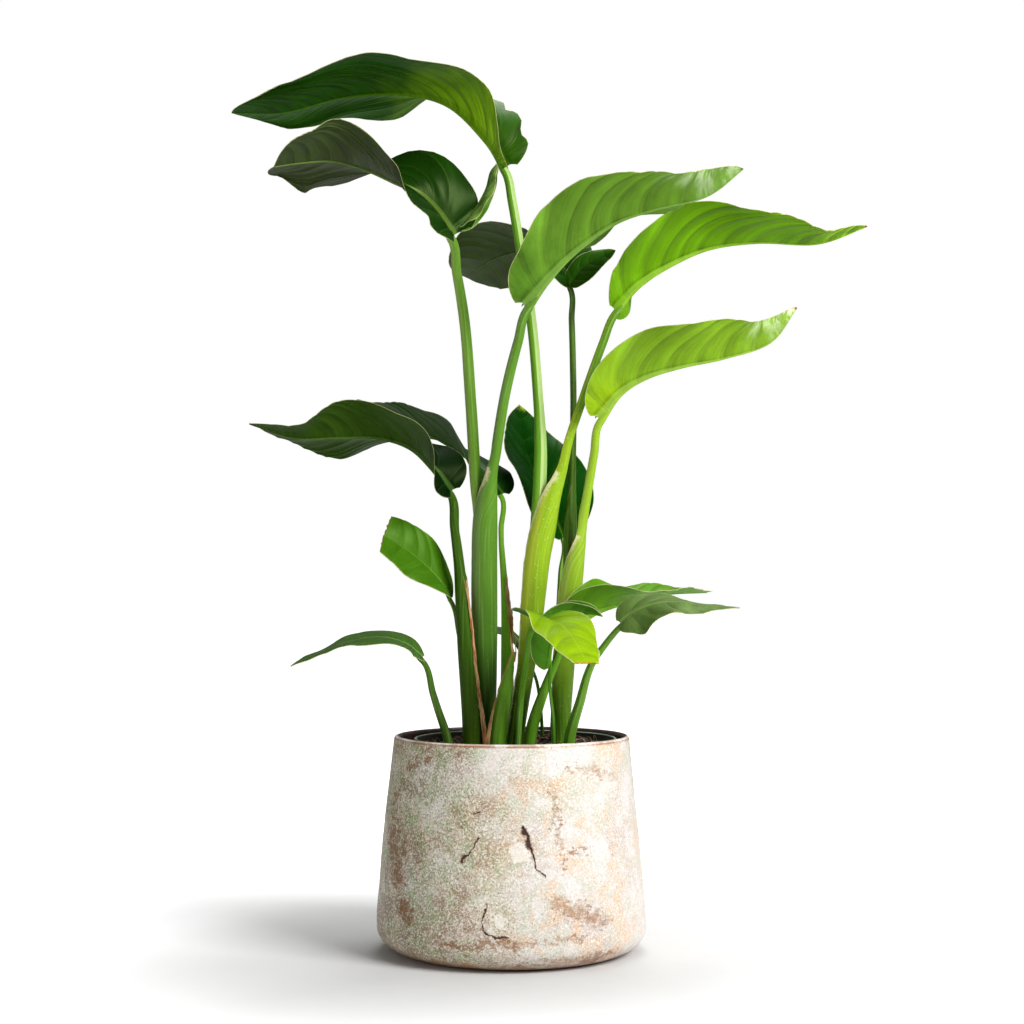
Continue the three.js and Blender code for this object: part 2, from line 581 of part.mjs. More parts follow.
// Thin plastic growing pot with a rolled lip and drain holes
function nurseryPot() {
  const bottom = POT_FLOOR + SEAT_GAP;
  const lipStart = NURSERY_TOP - 2 * NURSERY_LIP;
  const profile = [
    [0, bottom],
    [nurseryRadius(bottom) - NURSERY_WALL, bottom],
    [nurseryRadius(bottom + NURSERY_WALL), bottom + NURSERY_WALL],
    [nurseryRadius(lipStart), lipStart],
    [NURSERY_RIM_RADIUS, lipStart + 1],
    [NURSERY_RIM_RADIUS, NURSERY_TOP],
    [NURSERY_RIM_RADIUS - NURSERY_LIP, NURSERY_TOP],
    [nurseryRadius(lipStart) - NURSERY_WALL, lipStart],
    [nurseryRadius(bottom + NURSERY_WALL) - NURSERY_WALL, bottom + NURSERY_WALL],
    [0, bottom + NURSERY_WALL],
  ];
  let shell = toManifold(turned(profile, NURSERY_SIDES));
  for (let k = 0; k < DRAIN_HOLES; k++) {
    const angle = 2 * Math.PI * (k + 0.5) / DRAIN_HOLES;
    const drill = new THREE.CylinderGeometry(DRAIN_HOLE_RADIUS, DRAIN_HOLE_RADIUS, 4 * NURSERY_WALL, 12)
      .rotateX(Math.PI / 2)
      .translate(DRAIN_RING_RADIUS * Math.cos(angle), DRAIN_RING_RADIUS * Math.sin(angle), bottom);
    shell = shell.subtract(toManifold(drill));
  }
  return fromManifold(shell);
}

// Peat that fills the growing pot, with an uneven top and a plain hole for every stalk
function soil(stalks) {
  const bottom = POT_FLOOR + 2 * SEAT_GAP + NURSERY_WALL;
  const wallRadius = (height) => nurseryRadius(height) - NURSERY_WALL - 2 * SEAT_GAP;
  const rings = [0.86, 0.66, 0.44, 0.22];
  const profile = [
    [0, bottom],
    [wallRadius(bottom), bottom],
    [wallRadius(SOIL_TOP), SOIL_TOP],
    ...rings.map((share) => [share * wallRadius(SOIL_TOP), SOIL_TOP]),
    [0, SOIL_TOP],
  ];
  const geometry = turned(profile, NURSERY_SIDES);
  const position = geometry.attributes.position;
  for (let i = 0; i < position.count; i++) {
    if (position.getZ(i) > SOIL_TOP - 1) {
      const x = position.getX(i);
      const y = position.getY(i);
      const lump = Math.sin(x / 9 + 1.3) * Math.cos(y / 11) + 0.6 * Math.sin((x - y) / 6);
      position.setZ(i, SOIL_TOP + SOIL_LUMP * lump);
    }
  }
  let body = toManifold(geometry).translate([NURSERY_OFFSET_X, 0, 0]);
  for (const stalk of stalks) {
    body = body.subtract(toManifold(stalkGeometry(stalk, HOLE_CLEARANCE)));
  }
  return fromManifold(body);
}

function mesh(name, geometry, finish) {
  const material = new THREE.MeshStandardMaterial(finish);
  const piece = new THREE.Mesh(geometry, material);
  piece.name = name;
  return piece;
}

const plant = new THREE.Group();
const pots = new THREE.Group();

pots.add(mesh("cover_pot", coverPot(), GLAZE));
const nursery = mesh("nursery_pot", nurseryPot(), NURSERY_GREEN);
nursery.position.x = NURSERY_OFFSET_X;
pots.add(nursery);
pots.add(mesh("soil", soil([...STALKS, STUMP]), PEAT));

for (const leaf of LEAVES) {
  const stalk = STALKS.find((entry) => entry.name === leaf.name);
  const petiole = toManifold(stalkGeometry(stalk, BLADE_CLEARANCE));
  const blade = toManifold(bladeGeometry(leaf)).subtract(petiole);
  const geometry = fromManifold(blade.simplify(SMALLEST_EDGE));
  plant.add(mesh(`blade_${leaf.name}`, geometry, leaf.finish));
}

for (const stalk of STALKS) {
  let geometry = stalkGeometry(stalk);
  if (stalk.holds) {
    const inner = STALKS.find((entry) => entry.name === stalk.holds);
    geometry = fromManifold(toManifold(geometry).subtract(toManifold(stalkGeometry(inner, HOLE_CLEARANCE))));
  }
  plant.add(mesh(`stalk_${stalk.name}`, geometry, stalk.finish));
}
plant.add(mesh(STUMP.name, stalkGeometry(STUMP), STUMP.finish));

const object = new THREE.Group();
object.add(pots);
object.add(plant);

export default object;
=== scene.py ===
"""Potted giant white bird of paradise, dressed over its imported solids.

Sixteen paddle leaves on long petioles stand in peat, in a plastic growing pot inside a
mottled stoneware cover pot. Sizes in the classes are millimetres; meshes are in metres.
"""

import logging
import random
from dataclasses import dataclass, field, fields
from enum import Enum
from math import atan2, cos, exp, hypot, pi, radians, sin, sqrt
from types import SimpleNamespace

import bpy
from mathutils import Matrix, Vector, noise


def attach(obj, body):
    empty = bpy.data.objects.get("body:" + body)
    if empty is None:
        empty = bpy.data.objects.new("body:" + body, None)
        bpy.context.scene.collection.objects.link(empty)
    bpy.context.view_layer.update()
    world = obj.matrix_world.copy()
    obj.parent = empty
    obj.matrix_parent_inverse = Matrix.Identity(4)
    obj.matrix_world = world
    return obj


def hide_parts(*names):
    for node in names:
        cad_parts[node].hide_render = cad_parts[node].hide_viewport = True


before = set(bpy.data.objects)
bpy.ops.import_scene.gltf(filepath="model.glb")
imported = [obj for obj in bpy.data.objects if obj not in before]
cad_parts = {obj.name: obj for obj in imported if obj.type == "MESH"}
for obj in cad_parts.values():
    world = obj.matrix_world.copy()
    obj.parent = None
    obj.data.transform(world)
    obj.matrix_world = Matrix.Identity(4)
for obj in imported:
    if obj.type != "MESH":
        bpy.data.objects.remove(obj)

MM = 0.001
ROOT_Z = 166.0
WHITE = (1.0, 1.0, 1.0)
LOG = logging.getLogger("potted_plant")

Pair = tuple[float, float]
Point = tuple[float, float, float]
Colour = tuple[float, float, float]
Material = bpy.types.Material
Piece = bpy.types.Object
Socket = bpy.types.NodeSocket
Value = Socket | float | Colour
Look = tuple[Value, Value, Value]


def smooth(value: float, low: float, high: float) -> float:
    """Smooth step.

    Args:
        value: Where to read the step.
        low: Value at which the step is still 0.
        high: Value from which the step is 1.

    Returns:
        A share from 0 to 1.
    """
    share = min(max((value - low) / (high - low), 0.0), 1.0)
    return share * share * (3 - 2 * share)


def along(values: list[float], share: float) -> float:
    """Value of an evenly spaced list, joined by a smooth curve.

    Args:
        values: The list, from its first to its last place.
        share: Place along the list, from 0 to 1.

    Returns:
        The value there.
    """
    last = len(values) - 1
    place = min(max(share, 0.0), 1.0) * last
    index = min(int(place), last - 1)
    x = place - index
    before, start, end, after = (values[min(max(index + k, 0), last)] for k in (-1, 0, 1, 2))
    return ((2 * x**3 - 3 * x**2 + 1) * start + (x**3 - 2 * x**2 + x) * (end - before) / 2
            + (3 * x**2 - 2 * x**3) * end + (x**3 - x**2) * (after - start) / 2)


class Curve:
    """Smooth curve through a list of points, read by parameter or by length."""

    DIVISIONS = 400
    NEAR = 1e-4

    def __init__(self, points: list[Vector]) -> None:
        """Measure the curve.

        Args:
            points: The points that it passes through.
        """
        self.points = points
        self.lengths = [0.0]
        last = self.point(0)
        for step in range(1, self.DIVISIONS + 1):
            here = self.point(step / self.DIVISIONS)
            self.lengths.append(self.lengths[-1] + (here - last).length)
            last = here

    @property
    def length(self) -> float:
        """Length of the curve."""
        return self.lengths[-1]

    def point(self, t: float) -> Vector:
        """Point at a parameter from 0 to 1.

        Args:
            t: The parameter.

        Returns:
            The point.
        """
        points, last = self.points, len(self.points) - 1
        place = min(max(t, 0.0), 1.0) * last
        index = min(int(place), last - 1)
        x = place - index
        start, end = points[index], points[index + 1]
        before = points[index - 1] if index else start * 2 - end
        after = points[index + 2] if index + 2 <= last else end * 2 - start
        leave, arrive = (end - before) / 2, (after - start) / 2
        return (start + leave * x + (end * 3 - start * 3 - leave * 2 - arrive) * x**2
                + (start * 2 - end * 2 + leave + arrive) * x**3)

    def tangent(self, t: float) -> Vector:
        """Direction at a parameter from 0 to 1."""
        low, high = max(t - self.NEAR, 0.0), min(t + self.NEAR, 1.0)
        return (self.point(high) - self.point(low)).normalized()

    def parameter(self, share: float) -> float:
        """Parameter at a share of the curve's length.

        Args:
            share: The share, from 0 to 1.

        Returns:
            The parameter.
        """
        target, low, high = share * self.length, 0, self.DIVISIONS
        while high - low > 1:
            middle = (low + high) // 2
            low, high = (middle, high) if self.lengths[middle] <= target else (low, middle)
        step = self.lengths[high] - self.lengths[low]
        return (low + (target - self.lengths[low]) / step) / self.DIVISIONS


class Wiring:
    """Adds shader nodes to one tree and links them as they are made."""

    MIDDLE = 0.5

    def __init__(self, tree: bpy.types.NodeTree) -> None:
        """Work on one node tree."""
        self.tree = tree

    def node(self, kind: str, inputs: dict[str | int, Value] | None = None,
             **settings: object) -> bpy.types.Node:
        """Add a node.

        Args:
            kind: The node's type.
            inputs: Values or sockets for its inputs, by name or number.
            **settings: Properties of the node.

        Returns:
            The node.
        """
        made = self.tree.nodes.new(kind)
        for name, value in settings.items():
            setattr(made, name, value)
        for key, value in (inputs or {}).items():
            self.feed(made.inputs[key], value)
        return made

    def feed(self, socket: Socket, value: Value) -> None:
        """Link a socket to an input, or set its value.

        Args:
            socket: The input.
            value: What it takes.
        """
        if isinstance(value, Socket):
            self.tree.links.new(value, socket)
        elif socket.type == "RGBA":
            socket.default_value = (*value, 1.0)
        else:
            socket.default_value = value

    def math(self, operation: str, *values: Value, clamp: bool = False) -> Socket:
        """Result of a Math node on one or two numbers."""
        made = self.node("ShaderNodeMath", dict(enumerate(values)), operation=operation, use_clamp=clamp)
        return made.outputs[0]

    def times(self, first: Value, second: Value) -> Socket:
        """Product of two numbers."""
        return self.math("MULTIPLY", first, second)

    def plus(self, first: Value, second: Value, clamp: bool = False) -> Socket:
        """Sum of two numbers, on request kept from 0 to 1."""
        return self.math("ADD", first, second, clamp=clamp)

    def minus(self, first: Value, second: Value) -> Socket:
        """Difference of two numbers."""
        return self.math("SUBTRACT", first, second)

    def rest(self, share: Value) -> Socket:
        """What a share leaves of 1."""
        return self.minus(1.0, share)

    def swing(self, cloud: Value, amount: Value) -> Socket:
        """A cloud's distance from its middle, times an amount."""
        return self.times(self.minus(cloud, self.MIDDLE), amount)

    def vector(self, operation: str, *values: Value) -> Socket:
        """Result of a Vector Math node on one or two vectors."""
        made = self.node("ShaderNodeVectorMath", dict(enumerate(values)), operation=operation)
        return made.outputs["Value" if operation in ("LENGTH", "DOT_PRODUCT") else "Vector"]

    def scaled(self, vector: Value, factor: Value) -> Socket:
        """A vector times a number."""
        return self.node("ShaderNodeVectorMath", {0: vector, "Scale": factor}, operation="SCALE").outputs[0]

    def mix(self, amount: Value, first: Value, second: Value, blend: str = "MIX") -> Socket:
        """Blend of two colours.

        Args:
            amount: Share of the second colour, from 0 to 1.
            first: The first colour.
            second: The second colour.
            blend: The node's way to blend them.

        Returns:
            The colour.
        """
        return self.node("ShaderNodeMix", {0: amount, 6: first, 7: second}, data_type="RGBA",
                         blend_type=blend).outputs[2]

    def blend(self, amount: Value, first: Value, second: Value) -> Socket:
        """Blend of two numbers by an amount from 0 to 1."""
        return self.node("ShaderNodeMix", {0: amount, 2: first, 3: second}, data_type="FLOAT").outputs[0]

    def span(self, value: Value, low: Value, high: Value, start: Value = 0.0, end: Value = 1.0) -> Socket:
        """A value brought smoothly from one range into another.

        Args:
            value: The value.
            low: Where its range starts.
            high: Where its range ends.
            start: The result at the range's start.
            end: The result at the range's end.

        Returns:
            The result.
        """
        return self.node("ShaderNodeMapRange", {0: value, 1: low, 2: high, 3: start, 4: end},
                         interpolation_type="SMOOTHSTEP").outputs[0]

    def cloud(self, vector: Value, scale: Value, detail: float = 2.0, roughness: float = 0.5,
              distortion: float = 0.0) -> Socket:
        """Noise from 0 to 1.

        Args:
            vector: Where it is read.
            scale: Its scale.
            detail: How many finer layers it has.
            roughness: How strong the finer layers are.
            distortion: How far it is warped.

        Returns:
            The noise.
        """
        return self.node("ShaderNodeTexNoise", {
            "Vector": vector, "Scale": scale, "Detail": detail, "Roughness": roughness,
            "Distortion": distortion}).outputs[0]

    def streaks(self, x: tuple[Value, float], y: tuple[Value, float], layer: float = 0.0,
                detail: float = 2.0, roughness: float = 0.5) -> Socket:
        """Noise on a plane of two values, drawn out by their scales.

        Args:
            x: First value and its scale.
            y: Second value and its scale.
            layer: Height of the plane in the noise.
            detail: How many finer layers the noise has.
            roughness: How strong the finer layers are.

        Returns:
            The noise.
        """
        return self.cloud(self.joined(self.times(*x), self.times(*y), layer), 1.0, detail, roughness)

    def shade(self, colour: Value, value: Value, saturation: Value = 1.0) -> Socket:
        """A colour made lighter or darker, and more or less saturated."""
        return self.node("ShaderNodeHueSaturation", {
            "Saturation": saturation, "Value": value, "Color": colour}).outputs[0]

    def map(self, name: str) -> tuple[Socket, Socket]:
        """The two values of one of the piece's UV maps."""
        x, y, _ = self.parts(self.node("ShaderNodeUVMap", uv_map=name).outputs[0])
        return x, y

    def parts(self, vector: Value) -> tuple[Socket, Socket, Socket]:
        """The three numbers of a vector."""
        return tuple(self.node("ShaderNodeSeparateXYZ", {0: vector}).outputs)

    def joined(self, x: Value, y: Value, z: Value = 0.0) -> Socket:
        """A vector from three numbers."""
        return self.node("ShaderNodeCombineXYZ", {0: x, 1: y, 2: z}).outputs[0]

    def place(self) -> Socket:
        """Place on the object, in metres."""
        return self.node("ShaderNodeTexCoord").outputs["Object"]


class Effect:
    """A shader node group with named inputs and outputs, built once for several materials."""

    name = "effect"
    vectors: tuple[str, ...] = ()
    outputs: dict[str, str] = {"colour": "Color", "roughness": "Float", "height": "Float"}
    _built: dict[str, bpy.types.NodeTree] = {}

    def wire(self, w: Wiring, given: SimpleNamespace) -> dict[str, Socket]:
        """Make the effect's nodes.

        Args:
            w: Adds nodes to the group.
            given: The group's inputs, as attributes.

        Returns:
            The sockets that feed the outputs, by name.
        """
        raise NotImplementedError

    def tree(self, values: dict[str, Value]) -> bpy.types.NodeTree:
        """The group's node tree, built when it is first asked for.

        Args:
            values: A value for each input, which says what kind it is.

        Returns:
            The node tree.
        """
        if self.name not in Effect._built:
            tree = bpy.data.node_groups.new(self.name, "ShaderNodeTree")
            for name, value in values.items():
                kind = "Vector" if name in self.vectors else "Color" if isinstance(value, tuple) else "Float"
                tree.interface.new_socket(name, in_out="INPUT", socket_type=f"NodeSocket{kind}")
            for name, kind in self.outputs.items():
                tree.interface.new_socket(name, in_out="OUTPUT", socket_type=f"NodeSocket{kind}")
            w = Wiring(tree)
            entry = w.node("NodeGroupInput")
            made = self.wire(w, SimpleNamespace(**{name: entry.outputs[name] for name in values}))
            leave = w.node("NodeGroupOutput")
            for name, socket in made.items():
                tree.links.new(socket, leave.inputs[name])
            Effect._built[self.name] = tree
        return Effect._built[self.name]

    def use(self, w: Wiring, values: dict[str, Value]) -> bpy.types.NodeOutputs:
        """Place the group in a tree.

        Args:
            w: Adds nodes to the tree that uses the effect.
            values: Values or sockets for the group's inputs.

        Returns:
            The outputs of the placed group.
        """
        made = w.node("ShaderNodeGroup", node_tree=self.tree(values), label=self.name)
        for name, value in values.items():
            w.feed(made.inputs[name], value)
        return made.outputs


class Finish:
    """Finish of a piece, which makes its material from a colour, a roughness and a height."""

    RELIEF = 0.3
    SHADER: dict[str, Value] = {}

    def look(self, w: Wiring) -> Look:
        """Make the nodes of the finish.

        Args:
            w: Adds nodes to the material.

        Returns:
            The colour, the roughness and the height.
        """
        raise NotImplementedError

    def constants(self) -> dict[str, Value]:
        """Values of the shader's other sockets."""
        return self.SHADER

    def material(self, name: str) -> Material:
        """Material in this finish.

        Args:
            name: The material's name.

        Returns:
            The material.
        """
        material = bpy.data.materials.new(name)
        material.use_nodes = True
        w = Wiring(material.node_tree)
        shader = material.node_tree.nodes["Principled BSDF"]
        colour, roughness, height = self.look(w)
        bump = w.node("ShaderNodeBump", {"Height": height, "Distance": self.RELIEF * MM, "Strength": 1.0})
        for key, value in {"Base Color": colour, "Roughness": roughness, "Normal": bump.outputs[0],
                           **self.constants()}.items():
            w.feed(shader.inputs[key], value)
        return material


class Slot(Enum):
    """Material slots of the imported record."""

    LEAF_GREEN = "leaf_green"
    LEAF_DARK = "leaf_dark"
    LEAF_PALE = "leaf_pale"
    PETIOLE = "petiole_green"
    SHEATH = "sheath_yellow"
    GLAZE = "glaze"
    PLASTIC = "growing_pot_plastic"
    PEAT = "peat"


class Facing(Enum):
    """Direction in which a leaf's right half leaves its midrib."""

    FAR = (0, 1, 0)
    NEAR = (0, -1, 0)
    SIDEWAYS = (1, 0, 0)


class PlantFinish(Effect, Finish):
    """Finish of a plant part: a node group that takes the fields of its dataclass as its inputs."""

    APART = ("slot", "shine")

    def look(self, w: Wiring) -> Look:
        """Place the group.

        Args:
            w: Adds nodes to the material.

        Returns:
            The group's colour, roughness and height.
        """
        made = self.use(w, {item.name: getattr(self, item.name) for item in fields(self)
                            if item.name not in self.APART})
        return made["colour"], made["roughness"], made["height"]


@dataclass(frozen=True)
class Tissue(PlantFinish):
    """Blade with its side veins, midrib, pale margin, tints at both ends and browned tip; painted shade in
    its vein grooves, across its panels, beside its midrib and on one half, and a painted highlight in the
    tip's tint.

    A reach is a share of the blade's length, and no tint shows without one.
    """

    name = "leaf tissue"
    GLINT = (0.75, 1.0, 0.35)
    BROAD = 26.0
    GRAIN = 900.0
    TORN = 220.0
    WANDER = 0.5
    LEAST_REACH = 0.002
    LEAST_BROWNED = 0.001

    slot: Slot
    upper: Colour
    under: Colour
    midrib: Colour
    base_tint: Colour = (0.1, 0.2, 0.02)
    base_reach: float = 0.001
    # The tip's paler colour, together with a painted highlight.
    tip_tint_and_highlight: Colour = (0.1, 0.2, 0.02)
    tip_reach: float = 0.001
    # Painted light and shade: brightness of each half of the blade, as the light falls on it.
    right_half_shading: float = 1.0
    left_half_shading: float = 1.0
    mottle: float = 0.35
    veins: float = 0.15
    threads: float = 0.5
    midrib_shown: float = 0.75
    margin: Colour = (0.52, 0.50, 0.24)
    margin_width: float = 0.55
    browned: Colour = (0.28, 0.10, 0.02)
    browned_reach: float = 0.0
    upper_roughness: float = 0.36
    under_roughness: float = 0.46
    # Painted shade in the underside's vein grooves; below 0 it darkens.
    groove_shade: float = -0.3
    # Strength of the painted pleat shade across each panel.
    creases: float = 0.25
    base_above: float = 0.15
    shine: float = 0.12

    def wire(self, w: Wiring, given: SimpleNamespace) -> dict[str, Socket]:
        """Make the nodes of the blade.

        Args:
            w: Adds nodes to the group.
            given: The group's inputs, as attributes.

        Returns:
            The sockets that feed the outputs, by name.
        """
        panel, across = w.map("veins")
        length, face = w.map("place")
        rim, rib = w.map("edges")
        place = w.place()
        upper, distance = w.span(face, 0.4, 0.6), w.math("ABSOLUTE", across)
        inside = w.math("FRACT", panel)
        beside = w.math("MINIMUM", inside, w.rest(inside))
        broad, grain = w.cloud(place, self.BROAD, 3.0), w.cloud(place, self.GRAIN, 2.0, 0.6)
        torn = w.cloud(place, self.TORN, 3.0, 0.7)
        threads = w.streaks((panel, 7.0), (across, 1.6), detail=2.5, roughness=0.65)
        bands = w.streaks((panel, 2.6), (across, 1.4), layer=5.0)

        wander = w.swing(broad, self.WANDER)
        from_base = w.plus(length, w.plus(wander, w.times(distance, 0.08)))
        at_base = w.span(from_base, 0.0, given.base_reach, 1.0, 0.0)
        at_base = w.times(at_base, w.math("GREATER_THAN", given.base_reach, self.LEAST_REACH))
        at_base = w.times(at_base, w.blend(upper, 1.0, given.base_above))
        # Tip tint: the tip's paler colour together with a painted highlight, broken into streaks and
        # strongest towards the margins.
        tip_tint_and_highlight_mask = w.span(w.rest(w.plus(length, wander)), 0.0, given.tip_reach, 1.0, 0.0)
        tip_tint_and_highlight_mask = w.times(tip_tint_and_highlight_mask, w.math("GREATER_THAN", given.tip_reach, self.LEAST_REACH))
        highlight_streaks = w.cloud(w.joined(w.times(panel, 4.0), across, 9.0), 1.0, 2.0, 0.6)
        tip_tint_and_highlight_mask = w.times(tip_tint_and_highlight_mask, w.span(highlight_streaks, 0.44, 0.60, 0.12, 1.0))
        tip_tint_and_highlight_mask = w.times(tip_tint_and_highlight_mask, w.span(distance, 0.1, 0.7, 0.5, 1.0))
        lamina = w.mix(upper, given.under, given.upper)
        lamina = w.mix(at_base, lamina, given.base_tint)
        lamina = w.mix(tip_tint_and_highlight_mask, lamina, given.tip_tint_and_highlight)

        light = w.swing(threads, given.threads)
        for layer, amount in ((bands, given.mottle), (broad, given.mottle), (grain, 0.35)):
            light = w.plus(light, w.swing(layer, amount))
        # Painted shade in the grooves beside the side veins on the underside, stronger at some veins than at
        # others.
        nearest = w.times(w.math("ROUND", panel), 0.37)
        strength = w.cloud(w.joined(nearest, w.times(w.math("SIGN", across), 3.3)), 1.0, 1.0)
        strength = w.times(w.span(strength, 0.40, 0.60, 0.25, 1.0), w.span(distance, 0.1, 0.4, 0.5, 1.0))
        groove = w.times(w.times(w.span(beside, 0.0, 0.07, 1.0, 0.0), w.rest(upper)), strength)
        light = w.plus(light, w.times(groove, given.groove_shade))
        # Painted shade across each panel between side veins, dark after one vein and light before the next,
        # standing in for the pleats' shading.
        step = w.times(w.minus(inside, 0.5), w.span(beside, 0.0, 0.14))
        light = w.plus(light, w.times(step, given.creases))
        # Painted shade in the grooves along both sides of the midrib on the underside.
        rib_groove_shade = w.times(w.times(w.span(rib, 1.0, 1.5), w.span(rib, 1.5, 2.6, 1.0, 0.0)), w.rest(upper))
        light = w.plus(1.0, w.minus(light, w.times(rib_groove_shade, 0.25)))
        # Painted light and shade: one half of the blade made lighter or darker than the other, as the light
        # falls on it.
        half = w.blend(w.span(across, -0.02, 0.02), given.left_half_shading, given.right_half_shading)
        lamina = w.shade(lamina, w.times(light, half))

        vein = w.times(w.span(beside, 0.0, 0.045, 1.0, 0.0), w.span(distance, 0.75, 1.0, 1.0, 0.25))
        lamina = w.mix(w.times(vein, given.veins), lamina, given.midrib)
        midrib = w.times(w.span(rib, 0.75, 1.35, 1.0, 0.0),
                         w.times(given.midrib_shown, w.blend(upper, 0.75, 1.0)))
        rib_light = w.span(w.streaks((rib, 3.0), (length, 4.0)), 0.2, 0.8, 0.75, 1.2)
        lamina = w.mix(midrib, lamina, w.shade(given.midrib, rib_light))
        browned = w.span(w.plus(w.rest(length), w.swing(torn, 0.03)),
                         w.times(given.browned_reach, 0.5), given.browned_reach, 1.0, 0.0)
        browned = w.times(browned, w.math("GREATER_THAN", given.browned_reach, self.LEAST_BROWNED))
        width = w.times(given.margin_width, w.span(torn, 0.3, 0.7, 0.7, 1.5))
        margin = w.span(rim, w.times(width, 0.4), width, 1.0, 0.0)
        lamina = w.mix(w.times(margin, 0.85), lamina, given.margin)
        lamina = w.mix(browned, lamina, w.shade(given.browned, w.span(torn, 0.3, 0.7, 0.5, 1.6)))

        gloss = w.blend(upper, given.under_roughness, given.upper_roughness)
        gloss = w.plus(gloss, w.swing(bands, 0.18))
        gloss = w.plus(gloss, w.times(browned, 0.3), clamp=True)
        height = w.plus(w.times(threads, 0.55), w.times(grain, 0.16))
        height = w.plus(height, w.times(w.times(vein, w.blend(upper, 1.0, -1.0)), 0.5))
        return {"colour": lamina, "roughness": gloss, "height": height}

    def constants(self) -> dict[str, Value]:
        """Shine of the blade."""
        return {"Specular IOR Level": self.shine, "Specular Tint": self.GLINT}


@dataclass(frozen=True)
class Skin(PlantFinish):
    """Petiole with fine lengthwise ribs, streaks, scuffs and pale specks, its sheath's margin and a painted
    lit side.

    A reach is a share of the petiole's length, and the flank's side is given as an X direction, with its
    strength: the flank is painted light on the side of the petiole that faces the light.
    """

    name = "petiole skin"
    SHADER = {"Specular IOR Level": 0.22, "Specular Tint": (0.8, 1.0, 0.4)}
    BROAD = 22.0
    GRAIN = 1100.0
    SPECK = 520.0
    RAGGED = 160.0
    SPECK_COLOUR = (0.62, 0.68, 0.40)
    NECK_FADE = 0.12

    slot: Slot
    top: Colour
    foot: Colour
    foot_reach: float = 0.5
    stripe: Colour = (0.40, 0.55, 0.22)
    stripes: float = 0.35
    margin: Colour = (0.62, 0.46, 0.27)
    margin_width: float = 2.4
    edge: Colour = (0.28, 0.10, 0.03)
    specks: float = 0.0
    scuffs: float = 0.2
    smoothness: float = 0.36
    # Colour painted as light on one side of the petiole.
    lit_flank: Colour = (0.5, 0.6, 0.2)
    flank_side: float = 0.0
    dry_share: float = 0.3
    neck: Colour = (0.1, 0.2, 0.02)
    neck_from: float = 2.0

    def wire(self, w: Wiring, given: SimpleNamespace) -> dict[str, Socket]:
        """Make the nodes of the petiole.

        Args:
            w: Adds nodes to the group.
            given: The group's inputs, as attributes.

        Returns:
            The sockets that feed the outputs, by name.
        """
        around, run = w.map("skin")
        edge, share = w.map("edges")
        place = w.place()
        grain = w.cloud(place, self.GRAIN, 2.0, 0.6)
        ribs = w.streaks((around, 2.4), (run, 0.03), roughness=0.6)
        streaks = w.streaks((around, 0.5), (run, 0.012), layer=3.0)
        scuffs = w.streaks((around, 0.25), (run, 0.5), layer=7.0, detail=4.0, roughness=0.7)

        level = w.plus(share, w.swing(w.cloud(place, self.BROAD, 2.0), 0.25))
        skin = w.mix(w.span(level, 0.0, given.foot_reach), given.foot, given.top)
        neck = w.span(level, given.neck_from, w.plus(given.neck_from, self.NECK_FADE))
        skin = w.mix(neck, skin, given.neck)
        light = w.swing(ribs, 0.22)
        for layer, amount in ((streaks, 0.4), (grain, 0.25)):
            light = w.plus(light, w.swing(layer, amount))
        skin = w.shade(skin, w.plus(1.0, light))
        skin = w.mix(w.times(w.span(streaks, 0.52, 0.72), given.stripes), skin, given.stripe)

        # Painted light: the flank colour goes on the side whose normal points along X, as if lit from there.
        facing_lit_side = w.parts(w.node("ShaderNodeTexCoord").outputs["Normal"])[0]
        facing_lit_side = w.plus(w.times(facing_lit_side, given.flank_side), w.swing(streaks, 0.5))
        lit_flank = w.times(w.span(facing_lit_side, 0.05, 0.75), w.span(share, 0.15, 0.45))
        skin = w.mix(w.times(lit_flank, w.blend(neck, 1.0, 0.3)), skin, given.lit_flank)
        skin = w.mix(w.times(w.span(scuffs, 0.58, 0.75), given.scuffs), skin, given.stripe)
        speck = w.times(w.span(w.cloud(place, self.SPECK, 1.0, 0.5), 0.68, 0.75), given.specks)
        skin = w.mix(speck, skin, self.SPECK_COLOUR)

        ragged = w.span(w.cloud(place, self.RAGGED, 3.0, 0.7), 0.25, 0.75, 0.55, 1.45)
        width = w.times(given.margin_width, ragged)
        margin = w.span(edge, w.times(width, 0.15), width, 1.0, 0.0)
        skin = w.mix(w.times(margin, 0.9), skin, given.margin)
        dry = w.span(edge, 0.0, w.times(width, given.dry_share), 1.0, 0.0)
        skin = w.mix(w.times(dry, 0.8), skin, given.edge)

        gloss = w.plus(given.smoothness, w.swing(scuffs, 0.2))
        gloss = w.plus(gloss, w.times(margin, 0.3), clamp=True)
        height = w.plus(w.times(ribs, 0.18), w.times(grain, 0.1))
        height = w.plus(height, w.times(speck, 0.25))
        return {"colour": skin, "roughness": gloss, "height": height}


class Stroke(Effect):
    """Mask of a straight ragged mark on the front of the pot, between two points."""

    name = "stroke"
    vectors = ("place", "start", "end")
    outputs = {"mask": "Float"}
    LEAST = 1e-9
    END_WIDTH = 0.6
    SWELL = 1.8

    def wire(self, w: Wiring, given: SimpleNamespace) -> dict[str, Socket]:
        """Make the nodes of the mark.

        Args:
            w: Adds nodes to the group.
            given: The group's inputs, as attributes.

        Returns:
            The mask, by its name.
        """
        offset = w.vector("SUBTRACT", given.place, given.start)
        run = w.vector("SUBTRACT", given.end, given.start)
        reach = w.vector("DOT_PRODUCT", offset, run)
        squared = w.plus(w.vector("DOT_PRODUCT", run, run), self.LEAST)
        share = w.math("DIVIDE", reach, squared, clamp=True)
        away = w.vector("LENGTH", w.vector("SUBTRACT", offset, w.scaled(run, share)))
        middle = w.times(share, w.rest(share))
        width = w.times(given.width, w.plus(self.END_WIDTH, w.times(middle, self.SWELL)))
        core = w.times(width, w.rest(given.softness))
        return {"mask": w.span(away, core, width, 1.0, 0.0)}


